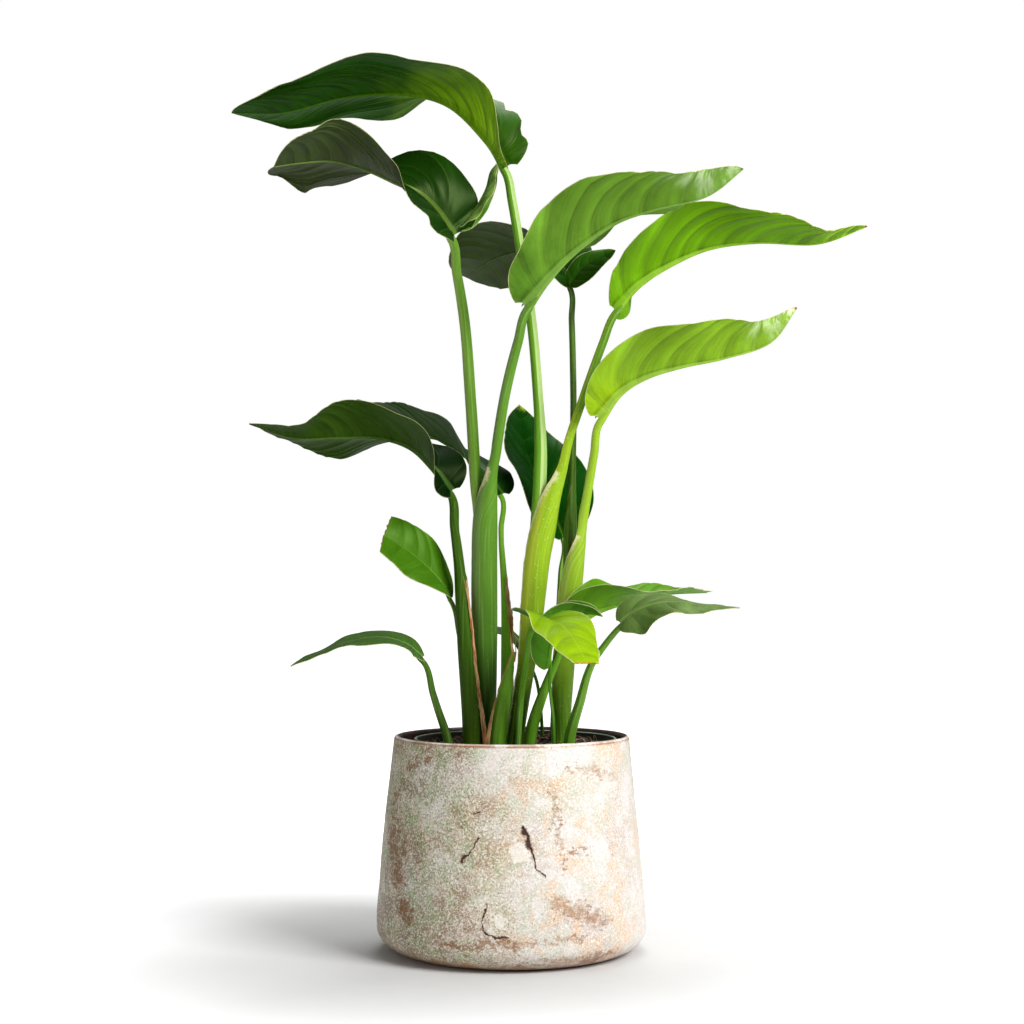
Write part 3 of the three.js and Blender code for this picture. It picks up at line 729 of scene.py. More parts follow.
class Bench:
    """Modelling steps that the sub-assemblies share."""

    SHEET = 0.01
    UPPER_FACE = -0.005
    MERGED = 2e-6

    @staticmethod
    def only(obj: Piece) -> None:
        """Select one piece alone, as the active one.

        Args:
            obj: The piece.
        """
        bpy.ops.object.select_all(action="DESELECT")
        obj.select_set(True)
        bpy.context.view_layer.objects.active = obj

    @staticmethod
    def grid(name: str, rows: int, columns: int, thickness: float = 0.0) -> Piece:
        """Flat grid of quads, with rows along X and columns along Y.

        Args:
            name: Name of the object.
            rows: Steps along X.
            columns: Steps along Y.
            thickness: Depth of a closed plate, or 0 for an open sheet.

        Returns:
            The grid, from -1 to 1 both ways.
        """
        bpy.ops.object.select_all(action="DESELECT")
        bpy.ops.mesh.primitive_grid_add(x_subdivisions=rows, y_subdivisions=columns, size=2)
        obj = bpy.context.object
        obj.name = obj.data.name = name
        if thickness:
            shell = obj.modifiers.new("Thickness", "SOLIDIFY")
            shell.thickness = thickness
            shell.offset = -1
            bpy.ops.object.modifier_apply(modifier=shell.name)
        return obj

    @staticmethod
    def station(vertex: bpy.types.MeshVertex, rows: int, columns: int) -> tuple[int, int]:
        """Row and column of a grid's vertex."""
        return round((vertex.co.x + 1) / 2 * rows), round((vertex.co.y + 1) / 2 * columns)

    @staticmethod
    def shape(obj: Piece, points: list[Vector], maps: dict[str, list[Pair]]) -> None:
        """Move every vertex and give the faces their maps.

        Args:
            obj: The piece.
            points: A place for each vertex, in millimetres.
            maps: For each UV map, its two values at each vertex.
        """
        mesh = obj.data
        mesh.vertices.foreach_set("co", [value * MM for point in points for value in point])
        corners = [0] * len(mesh.loops)
        mesh.loops.foreach_get("vertex_index", corners)
        while mesh.uv_layers:
            mesh.uv_layers.remove(mesh.uv_layers[0])
        for name, values in maps.items():
            layer = mesh.uv_layers.new(name=name)
            layer.data.foreach_set("uv", [value for corner in corners for value in values[corner]])
        mesh.update()

    @staticmethod
    def close(obj: Piece) -> None:
        """Merge a rolled sheet's seam, fill its open ends and turn its faces outwards.

        Args:
            obj: The piece.
        """
        Bench.only(obj)
        bpy.ops.object.mode_set(mode="EDIT")
        bpy.ops.mesh.select_all(action="SELECT")
        bpy.ops.mesh.remove_doubles(threshold=Bench.MERGED)
        bpy.ops.mesh.select_all(action="SELECT")
        bpy.ops.mesh.fill_holes(sides=0)
        bpy.ops.mesh.select_all(action="SELECT")
        bpy.ops.mesh.normals_make_consistent(inside=False)
        bpy.ops.object.mode_set(mode="OBJECT")

    @staticmethod
    def soften(obj: Piece, degrees: float) -> None:
        """Shade a piece smooth, apart from edges sharper than an angle."""
        Bench.only(obj)
        bpy.ops.object.shade_smooth_by_angle(angle=radians(degrees))

    @staticmethod
    def turned(name: str, profile: list[Pair], steps: int) -> Piece:
        """Body of revolution about Z, spun from a drawn profile.

        Args:
            name: Name of the object.
            profile: Radius and height of each point, in millimetres, from axis to axis.
            steps: Steps of the full turn.

        Returns:
            The closed body.
        """
        bpy.ops.object.select_all(action="DESELECT")
        bpy.ops.mesh.primitive_circle_add(vertices=3, radius=MM)
        obj = bpy.context.object
        obj.name = obj.data.name = name
        bpy.ops.object.mode_set(mode="EDIT")
        bpy.ops.mesh.select_mode(type="VERT")
        bpy.ops.mesh.select_all(action="SELECT")
        bpy.ops.mesh.merge(type="CENTER")
        bpy.ops.transform.translate(value=(profile[0][0] * MM, 0, profile[0][1] * MM))
        for start, end in zip(profile, profile[1:]):
            step = ((end[0] - start[0]) * MM, 0, (end[1] - start[1]) * MM)
            bpy.ops.mesh.extrude_vertices_move(TRANSFORM_OT_translate={"value": step})
        bpy.ops.mesh.select_all(action="SELECT")
        bpy.ops.mesh.spin(steps=steps, angle=2 * pi, center=(0, 0, 0), axis=(0, 0, 1))
        bpy.ops.object.mode_set(mode="OBJECT")
        Bench.close(obj)
        return obj

    @staticmethod
    def arc(centre: Pair, radii: Pair, degrees: range | tuple[int, ...]) -> list[Pair]:
        """Points of a profile round a centre, at the given angles."""
        return [(centre[0] + radii[0] * cos(radians(a)), centre[1] + radii[1] * sin(radians(a)))
                for a in degrees]

    @staticmethod
    def place(obj: Piece, node: str, slot: Slot, material: Material) -> None:
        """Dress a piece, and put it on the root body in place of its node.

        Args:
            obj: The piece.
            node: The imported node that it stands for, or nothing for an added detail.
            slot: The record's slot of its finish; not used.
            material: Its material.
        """
        obj.data.materials.clear()
        obj.data.materials.append(material)
        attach(obj, "root")
        if node:
            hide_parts(node)
        LOG.info("%s: %d faces", obj.name, len(obj.data.polygons))


@dataclass(frozen=True)
class Half:
    """Angles of one half of a blade, listed at even steps from base to tip."""

    rise: list[float]
    arch: list[float]


@dataclass(frozen=True)
class Station:
    """One place of a blade's mesh: its two points and the values of its maps."""

    upper: Vector
    lower: Vector
    veins: Pair
    share: float
    edges: Pair


@dataclass
class Leaf:
    """One blade, along its midrib from the petiole to the tip."""

    STRAIGHT = 1e-9
    SAMPLES = 240
    LEAST_PANELS = 5
    ROWS_IN_PANEL = 9
    RIB_COLUMNS = 5
    ROW_CROWDING = 1.2
    COLUMN_CROWDING = 0.92
    RIB_REACH = 1.6
    RIB_GROOVE = 0.22
    WAVE_STARTS = {1: 0.15, -1: 0.55}
    LEVEL_CHANGE = 0.55
    NICK_NOISE = 0.008
    WIDEST_FLAP = -0.25
    RAGGED_END = 0.02
    SWELL = 1.1
    SWELL_SIZE = 42
    SWELL_START = Vector((7.0, 1.0, 3.0))
    FRILL = 1.6
    FRILL_SIZE = 17
    SHARP = 55

    name: str
    facing: Facing
    width: float
    rib: float
    back: float
    ripple: float
    waves: float
    spine: list[Point]
    right: Half
    left: Half
    tissue: Tissue
    base: float = 0.45
    tip: float = 0.8
    cut: float = 1.0
    start: float = 0.004
    sweep: float = 0.42
    pleat: float = 1.0
    frill: float = 0.5
    nicks: list[tuple[int, float, float, float]] = field(default_factory=list)
    panel_length: float = 20.0
    columns: int = 24
    strip: bool = False
    thickness: float = 0.9
    margin_thinning: float = 0.55
    tip_half_width: float = 0.7
    lobe_reach: float = 0.26
    clearance: float = 0.35

    def __post_init__(self) -> None:
        """Lay the frames along the midrib, and draw the pleats' levels."""
        curve = Curve([Vector(point) for point in self.spine])
        self.length = curve.length
        self.frames = []
        for sample in range(self.SAMPLES + 1):
            t = curve.parameter(sample / self.SAMPLES)
            ahead = curve.tangent(t)
            right = Vector(self.facing.value)
            right = (right - ahead * right.dot(ahead)).normalized()
            self.frames.append((curve.point(t), ahead, right, right.cross(ahead)))
        self.panels = max(self.LEAST_PANELS, round(self.length / self.panel_length))
        draw = random.Random(f"leaf {self.name}")
        self.levels = {side: [draw.uniform(-1, 1) for _ in range(self.panels + 1)] for side in (1, -1)}
        breadths = [draw.uniform(0.7, 1.3) for _ in range(self.panels)]
        sums = [sum(breadths[:k]) for k in range(self.panels + 1)]
        self.veins = [value / sums[-1] for value in sums]

    def frame_at(self, s: float) -> tuple[Vector, Vector, Vector, Vector]:
        """Frame at a share of the midrib.

        Args:
            s: The share.

        Returns:
            Its origin, and its directions ahead, right and up.
        """
        place = min(max(s, 0.0), 1.0) * self.SAMPLES
        index = min(int(place), self.SAMPLES - 1)
        low, high = self.frames[index], self.frames[index + 1]
        return tuple(a.lerp(b, place - index) for a, b in zip(low, high))

    def half_width(self, s: float) -> float:
        """Half width at a share of the midrib.

        Args:
            s: The share.

        Returns:
            The half width.
        """
        x = min(self.start + (1 - self.start) * s * self.cut, 1.0)
        peak = self.base / (self.base + self.tip)
        widest = peak**self.base * (1 - peak) ** self.tip
        return max(self.width * x**self.base * (1 - x) ** self.tip / widest, self.tip_half_width)

    def rib_half_width(self, s: float) -> float:
        """Half width of the midrib at a share of its length."""
        return min(self.rib * (0.15 + 0.85 * (1 - s) ** 2.2), self.half_width(s) * 0.5)

    def lamina(self, s: float, side: int, t: float) -> tuple[Vector, Vector]:
        """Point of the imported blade's lower face, and its upward normal.

        Args:
            s: Share of the midrib, from base to tip.
            side: 1 for the right half, -1 for the left.
            t: Share of the way from midrib to margin.

        Returns:
            The point and the normal.
        """
        origin, ahead, right, up = self.frame_at(s)
        half = self.right if side > 0 else self.left
        turn = radians(along(half.arch, s))
        start = radians(along(half.rise, s)) - turn / 2
        angle, middle = start + turn * t, start + turn * t / 2
        spread = t if abs(turn) < self.STRAIGHT else 2 * sin(turn * t / 2) / turn
        outward = right * side
        point = origin + (outward * cos(middle) + up * sin(middle)) * (self.half_width(s) * spread)
        normal = up * cos(angle) - outward * sin(angle)
        lobe = max(0.0, 1 - s / self.lobe_reach) ** 2
        point = point - ahead * (self.back * lobe * t * t)
        fade = min(1.0, s * 8, (1 - s) * 5)
        wave = sin(2 * pi * (self.waves * s + self.WAVE_STARTS[side]))
        return point + normal * (self.ripple * wave * fade * t * t), normal

    def keel(self, s: float) -> tuple[Vector, Vector]:
        """Upward normal of the midrib, and its origin, at a share of its length."""
        normal = (self.lamina(s, 1, 0)[1] + self.lamina(s, -1, 0)[1]).normalized()
        return normal, self.frame_at(s)[0]

    def junction(self) -> tuple[Vector, Vector, Vector]:
        """Where the petiole meets the blade.

        Returns:
            Middle of the petiole's end, the direction it arrives in, and the blade's upward normal.
        """
        origin, ahead = self.frame_at(0)[:2]
        normal = self.keel(0)[0]
        return origin - normal * self.rib - ahead * self.clearance, ahead, normal

    def relief(self, place: float, side: int, t: float) -> float:
        """Height of the pleats between the side veins, in millimetres.

        Args:
            place: Number of the panel, with the share of the way through it.
            side: 1 for the right half, -1 for the left.
            t: Share of the way from midrib to margin.

        Returns:
            The height.
        """
        panel = min(int(place), self.panels - 1)
        x = place - panel
        levels = self.levels[side]
        level = levels[panel] * (1 - x) + levels[panel + 1] * x
        height = self.pleat * (4 * x * (1 - x)) + self.LEVEL_CHANGE * level
        return height * smooth(t, 0.03, 0.35) * (1 - 0.35 * t)

    def row_share(self, row: int) -> float:
        """Share of the midrib at which a row of the mesh starts.

        Args:
            row: The row.

        Returns:
            The share.
        """
        panel = min(row // self.ROWS_IN_PANEL, self.panels - 1)
        x = row / self.ROWS_IN_PANEL - panel
        return (self.veins[panel] * (1 - x) + self.veins[panel + 1] * x) ** self.ROW_CROWDING

    def nick(self, s: float, side: int, t: float) -> float:
        """Share of the way out that is left where the margin is notched.

        Args:
            s: Share of the midrib, from base to tip.
            side: 1 for the right half, -1 for the left.
            t: Share of the way from midrib to margin.

        Returns:
            The share.
        """
        depth = self.NICK_NOISE * noise.noise(Vector((s * 30, side * 3.0, self.width)))
        for where, place, breadth, deep in self.nicks:
            if where == side:
                depth += deep * max(0.0, 1 - abs(s - place) / breadth)
        return 1 - max(depth, self.WIDEST_FLAP) * smooth(t, 0.4, 1.0)

    def surface(self, row: int, column: int) -> Station:
        """One station of the blade's mesh.

        Args:
            row: Row of the mesh, along a side vein.
            column: Column from the left margin to the right one.

        Returns:
            The station.
        """
        out = column - self.RIB_COLUMNS - self.columns
        side, step = (1 if out >= 0 else -1), abs(out)
        q = self.row_share(row)
        rib_share = self.rib_half_width(q) / self.half_width(q)
        if step <= self.RIB_COLUMNS:
            t = rib_share * step / self.RIB_COLUMNS
        else:
            beyond = (step - self.RIB_COLUMNS) / self.columns
            t = rib_share + (1 - rib_share) * beyond**self.COLUMN_CROWDING
        s = q + self.sweep * t**1.5 * (1 - q) * smooth(q, 0.0, 0.3)
        if self.cut < 1.0:
            ragged = 1 + noise.noise(Vector((t * 7 * side, self.width, 2.0)))
            s -= self.RAGGED_END * smooth(q, 0.85, 1.0) * ragged
        place = row / self.ROWS_IN_PANEL
        point, normal = self.lamina(s, side, t * self.nick(s, side, t))
        tip_fade = min(1.0, (1 - s) * 6)
        lift = self.relief(place, side, t) * tip_fade
        lift += self.SWELL * t * tip_fade * noise.noise(point / self.SWELL_SIZE + self.SWELL_START)
        frill = noise.noise(Vector((s * self.length / self.FRILL_SIZE, side * 9.0, self.width)))
        lift += self.frill * self.FRILL * frill * t**5 * min(1.0, s * 12) * tip_fade
        middle = point + normal * (self.thickness / 2 + lift)
        half_thickness = self.thickness / 2 * (1 - self.margin_thinning * t)
        upper, lower = middle + normal * half_thickness, middle - normal * half_thickness
        rib_units, rib = t / rib_share, self.rib_half_width(s)
        if rib_units < self.RIB_REACH:
            keel, depth = self.keel(s)[0], rib * (1.15 + 0.85 * exp(-10 * s))
            lower = lower - keel * (depth * sqrt(max(0.0, 1 - rib_units**2)))
            upper = upper - keel * (self.RIB_GROOVE * rib * smooth(1 - rib_units, 0.0, 0.9))
        return Station(upper, lower, (place, side * t), s, ((1 - t) * self.half_width(s), rib_units))

    def build(self) -> None:
        """Blade with its pleats, midrib, waved margin and torn end."""
        rows, columns = self.panels * self.ROWS_IN_PANEL, 2 * (self.RIB_COLUMNS + self.columns)
        obj = Bench.grid(f"blade_{self.name}_leaf", rows, columns, Bench.SHEET)
        stations: dict[tuple[int, int], Station] = {}
        points, veins, places, edges = [], [], [], []
        for vertex in obj.data.vertices:
            row, column = Bench.station(vertex, rows, columns)
            if (row, column) not in stations:
                stations[row, column] = self.surface(row, columns - column)
            station = stations[row, column]
            top = vertex.co.z > Bench.UPPER_FACE
            points.append(station.upper if top else station.lower)
            veins.append(station.veins)
            places.append((station.share, 1.0 if top else 0.0))
            edges.append(station.edges)
        Bench.shape(obj, points, {"veins": veins, "place": places, "edges": edges})
        Bench.soften(obj, self.SHARP)
        Bench.place(obj, "" if self.strip else f"blade_{self.name}", self.tissue.slot,
                    self.tissue.material(f"leaf {self.name} tissue"))


@dataclass
class Sheath:
    """Open sheath at the foot of a petiole, round the next one.

    Its opening faces a direction in degrees: 0 to the right, 90 away from the camera, 180
    to the left. The opening's half angle widens from the foot of the mouth to its top.
    """

    facing: float
    foot: float
    top: float
    closed: float = 8.0
    open: float = 60.0
    heal: float = 35.0
    wall: float = 1.6
    flare: float = 0.8
    paper: float = 1.0


@dataclass(frozen=True)
class Ring:
    """Ring of a petiole: its centre, direction and radius, and its share of the petiole's length."""

    centre: Vector
    ahead: Vector
    radius: float
    share: float


@dataclass(frozen=True)
class Mouth:
    """Opening of a ring: direction and half angle in radians, and the wall's thickness.

    Hollow says how hollow the ring is, and free how much of a free margin it has, from 0 to 1.
    """

    facing: float
    half: float
    wall: float
    hollow: float = 0.0
    free: float = 0.0


@dataclass
class Stalk:
    """One petiole: centre points with the radius there, from the hole in the peat upwards."""

    RINGS = 120
    EASE_REACH = 1.05
    END_RADIUS = 0.97
    RINGS_IN_RIB = 5
    RIB_STEP = 0.012
    OUTER = 36
    INNER = 16
    SWELL = 0.012
    LEAST_CORE = 0.05
    FAR_EDGE = 40
    SHARP = 50

    name: str
    points: list[tuple[float, float, float, float]]
    skin: Skin
    sheath: Sheath | None = None
    node: str = ""
    ease: float = 34.0
    channel: float = 34.0
    channel_depth: float = 0.26

    def route(self, leaf: Leaf | None) -> list[Ring]:
        """Rings from the foot to the blade.

        Args:
            leaf: The blade that the petiole carries, or None for the stump.

        Returns:
            The rings. Near the blade the petiole eases into the midrib's own direction,
            and its last rings run on inside the midrib.
        """
        centres = [Vector(point[:3]) for point in self.points]
        radii = [point[3] for point in self.points]
        if leaf:
            end, arrive = leaf.junction()[:2]
            centres.append(end)
            radii.append(leaf.rib * self.END_RADIUS)
        curve = Curve(centres)
        ease = min(self.ease, 0.5 * curve.length) if leaf else 0.0
        start, reach = 1 - ease / curve.length, ease * self.EASE_REACH
        leave_at, leave = curve.point(curve.parameter(start)), curve.tangent(curve.parameter(start))
        rings = []
        for ring in range(self.RINGS + 1):
            share = ring / self.RINGS
            t = curve.parameter(share)
            centre, ahead = curve.point(t), curve.tangent(t)
            if share > start and leaf:
                x = (share - start) / (1 - start)
                centre = (leave_at * (2 * x**3 - 3 * x**2 + 1) + leave * (reach * (x**3 - 2 * x**2 + x))
                          + end * (3 * x**2 - 2 * x**3) + arrive * (reach * (x**3 - x**2)))
                ahead = (leave_at * (6 * x**2 - 6 * x) + leave * (reach * (3 * x**2 - 4 * x + 1))
                         + end * (6 * x - 6 * x**2) + arrive * (reach * (3 * x**2 - 2 * x))).normalized()
            rings.append(Ring(centre, ahead, along(radii, t), share))
        for extra in range(1, self.RINGS_IN_RIB + 1 if leaf else 1):
            s = self.RIB_STEP * extra
            keel, origin = leaf.keel(s)
            half = leaf.rib_half_width(s)
            rings.append(Ring(origin - keel * half, leaf.frame_at(s)[1], half * (0.93 - 0.12 * extra), 1.0))
        return rings

    def opening(self, height: float, radius: float, towards: float) -> Mouth:
        """The sheath's opening at a height, or the channel under the blade.

        Args:
            height: Height of the ring.
            radius: Radius of the ring.
            towards: Direction of the channel under the blade, in radians.

        Returns:
            The opening.
        """
        sheath = self.sheath
        if sheath is None:
            return Mouth(towards, radians(self.channel), radius / 2)
        widen = smooth(height, sheath.foot, sheath.top)
        heal = smooth(height, sheath.top, sheath.top + sheath.heal)
        half = sheath.closed + (sheath.open - sheath.closed) * widen
        half += (self.channel - half) * heal
        wall = sheath.wall + (0.45 * radius - sheath.wall) * widen
        facing = radians(sheath.facing)
        turn = (towards - facing + pi) % (2 * pi) - pi
        facing += turn * smooth(height, sheath.top, sheath.top + 4 * sheath.heal)
        hollow = 1 - smooth(height, sheath.top - 3, sheath.top + sheath.heal * 0.7)
        return Mouth(facing, radians(half), wall, hollow, 1 - smooth(height, sheath.top - 2, sheath.top + 6))

    def build(self, leaves: dict[str, Leaf]) -> None:
        """Petiole with its groove, its sheath and a foot sunk in the peat.

        Args:
            leaves: The leaves by name.
        """
        leaf = leaves.get(self.name)
        route = self.route(leaf)
        sides, rings = self.OUTER + self.INNER, len(route) - 1
        obj = Bench.grid(f"{self.node or 'stalk_' + self.name}_petiole", rings, sides)
        normal = leaf.junction()[2] if leaf else Vector((0, 0, 1))
        rows, run = [], 0.0
        for index, ring in enumerate(route):
            run += (ring.centre - route[index - 1].centre).length if index else 0.0
            rows.append(self.stations(ring, normal, run))
        grid, skins, edges = [], [], []
        for vertex in obj.data.vertices:
            row, column = Bench.station(vertex, rings, sides)
            point, skin, edge = rows[row][column]
            grid.append(point)
            skins.append(skin)
            edges.append(edge)
        Bench.shape(obj, grid, {"skin": skins, "edges": edges})
        Bench.close(obj)
        Bench.soften(obj, self.SHARP)
        Bench.place(obj, self.node or f"stalk_{self.name}", self.skin.slot,
                    self.skin.material(f"petiole {self.name} skin"))

    def stations(self, ring: Ring, normal: Vector, run: float) -> list[tuple[Vector, Pair, Pair]]:
        """Places round one ring of the mesh: round its outside, then back along its groove.

        Args:
            ring: The ring.
            normal: Upward normal of the blade, which the groove faces.
            run: Length along the petiole, in millimetres.

        Returns:
            For each place round the ring its point and the values of its two maps. The
            last is the first once more.
        """
        centre, radius, sheath = ring.centre, ring.radius, self.sheath
        across = (Vector((1, 0, 0)) - ring.ahead * ring.ahead.x).normalized()
        back = ring.ahead.cross(across)
        mouth = self.opening(centre.z, radius, atan2(normal.dot(back), normal.dot(across)))
        sweep = 2 * pi - 2 * mouth.half
        paper = 1 + (sheath.paper - 1) * smooth(centre.z, sheath.foot, sheath.top) if sheath else 1

        def at(angle: float, depth: float) -> Vector:
            """Point at an angle and a distance from the ring's centre."""
            return centre + (across * cos(angle) + back * sin(angle)) * depth

        made = []
        for column in range(self.OUTER + self.INNER + 1):
            outside = column < self.OUTER or column == self.OUTER + self.INNER
            x = (column / (self.OUTER - 1) if column < self.OUTER
                 else max(0.0, 1 - (column - self.OUTER) / (self.INNER - 1)))
            angle = mouth.facing + mouth.half + sweep * x
            from_end = min(x, 1 - x) * sweep * radius
            lip = sheath.flare * mouth.free * exp(-from_end / 2.2) if sheath else 0.0
            lip *= 0.7 + 0.9 * noise.noise(Vector((run / 9, x * 2, radius)))
            swell = 1 + self.SWELL * noise.noise(Vector((cos(angle), sin(angle), run / 30)))
            point = at(angle, (radius + lip) * swell)
            if not outside:
                taper = 0.3 + 0.7 * smooth(from_end, 0.0, 3.5)
                inner = at(angle, max(radius - mouth.wall * taper + lip, radius * self.LEAST_CORE))
                dip = 1 - self.channel_depth * sin(pi * (x * 0.86 + 0.07))
                channel = at(mouth.facing + mouth.half * (1 - 2 * x) * 0.93, radius * dip)
                point = channel.lerp(inner, mouth.hollow)
            edge = from_end / paper + self.FAR_EDGE * (1 - mouth.free)
            made.append((point, (x * sweep * radius, run), (edge, ring.share)))
        return made


@dataclass
class CoverPot:
    """Hand-formed stoneware pot, slightly out of round above its flat underside."""

    STEPS = 224
    WALL_STEPS = 52
    INNER_STEPS = 16
    SHARP = 40

    height: float = 199.0
    rim: float = 109.5
    belly: float = 125.0
    belly_height: float = 30.0
    corner: float = 22.0
    foot_reach: float = 32.0
    lean: float = 1.5
    wall: float = 6.0
    floor: float = 8.0
    wobble: float = 0.8
    dent: float = 0.5
    crease: float = 0.22

    def profile(self) -> list[Pair]:
        """Section of the pot.

        Returns:
            Radius and height along the wall, from the underside's middle to the inner floor's.
        """
        lip = self.wall / 2
        points = [(0.0, 0.0), (35.0, 0.0), (70.0, 0.0), (92.0, 0.0)]
        points += Bench.arc((self.belly - self.foot_reach, self.corner), (self.foot_reach, self.corner),
                            range(-81, 1, 9))
        waist = (self.belly + self.rim) / 2 + 1
        for step in range(1, self.WALL_STEPS):
            x = step / self.WALL_STEPS
            height = self.belly_height + (self.height - lip - self.belly_height) * x
            points.append((self.belly + (waist - self.belly) * min(x * 2, 1) if x < 0.5
                           else waist + (self.rim - waist) * (x * 2 - 1), height))
        points += Bench.arc((self.rim - lip, self.height - lip), (lip, lip), range(0, 181, 20))
        inner = (self.belly - self.wall, self.belly_height)
        start = (self.rim - 2 * lip, self.height - lip)
        points += [(start[0] + (inner[0] - start[0]) * k / self.INNER_STEPS,
                    start[1] + (inner[1] - start[1]) * k / self.INNER_STEPS)
                   for k in range(1, self.INNER_STEPS + 1)]
        return points + [(self.belly - self.corner, self.floor), (60.0, self.floor), (0.0, self.floor)]

    def build(self) -> None:
        """The pot with its throwing waves, dents and creases."""
        obj = Bench.turned("cover_pot_stoneware", self.profile(), self.STEPS)
        for vertex in obj.data.vertices:
            x, y, z = (value / MM for value in vertex.co)
            radius, turn = hypot(x, y), atan2(y, x)
            grip = min(max((z - self.floor) / self.belly_height, 0.0), 1.0)
            wave = cos(2 * turn + 0.7) + 0.7 * cos(3 * turn + z / 45)
            scale = 1 + self.wobble * grip * wave / radius if radius > 1e-3 else 1.0
            if radius > 60 and z > 2:
                dents = (self.dent * noise.noise(Vector((x, y, z)) / 34)
                         + self.crease * noise.noise(Vector((x, y, z * 1.6)) / 12))
                scale += dents * smooth(z, 2, 14) * (1 - smooth(z, 186, 197)) / radius
            lean = self.lean * grip * (1 - z / self.height)
            vertex.co.x, vertex.co.y = (x * scale - lean) * MM, y * scale * MM
        Bench.soften(obj, self.SHARP)
        Bench.place(obj, "cover_pot", Slot.GLAZE, Glaze().material("mottled glaze"))


@dataclass(frozen=True)
class Mark:
    """Ragged mark on the pot's front, through points given as X and Z in millimetres."""

    points: tuple[Pair, ...]
    width: float
    softness: float = 1.0


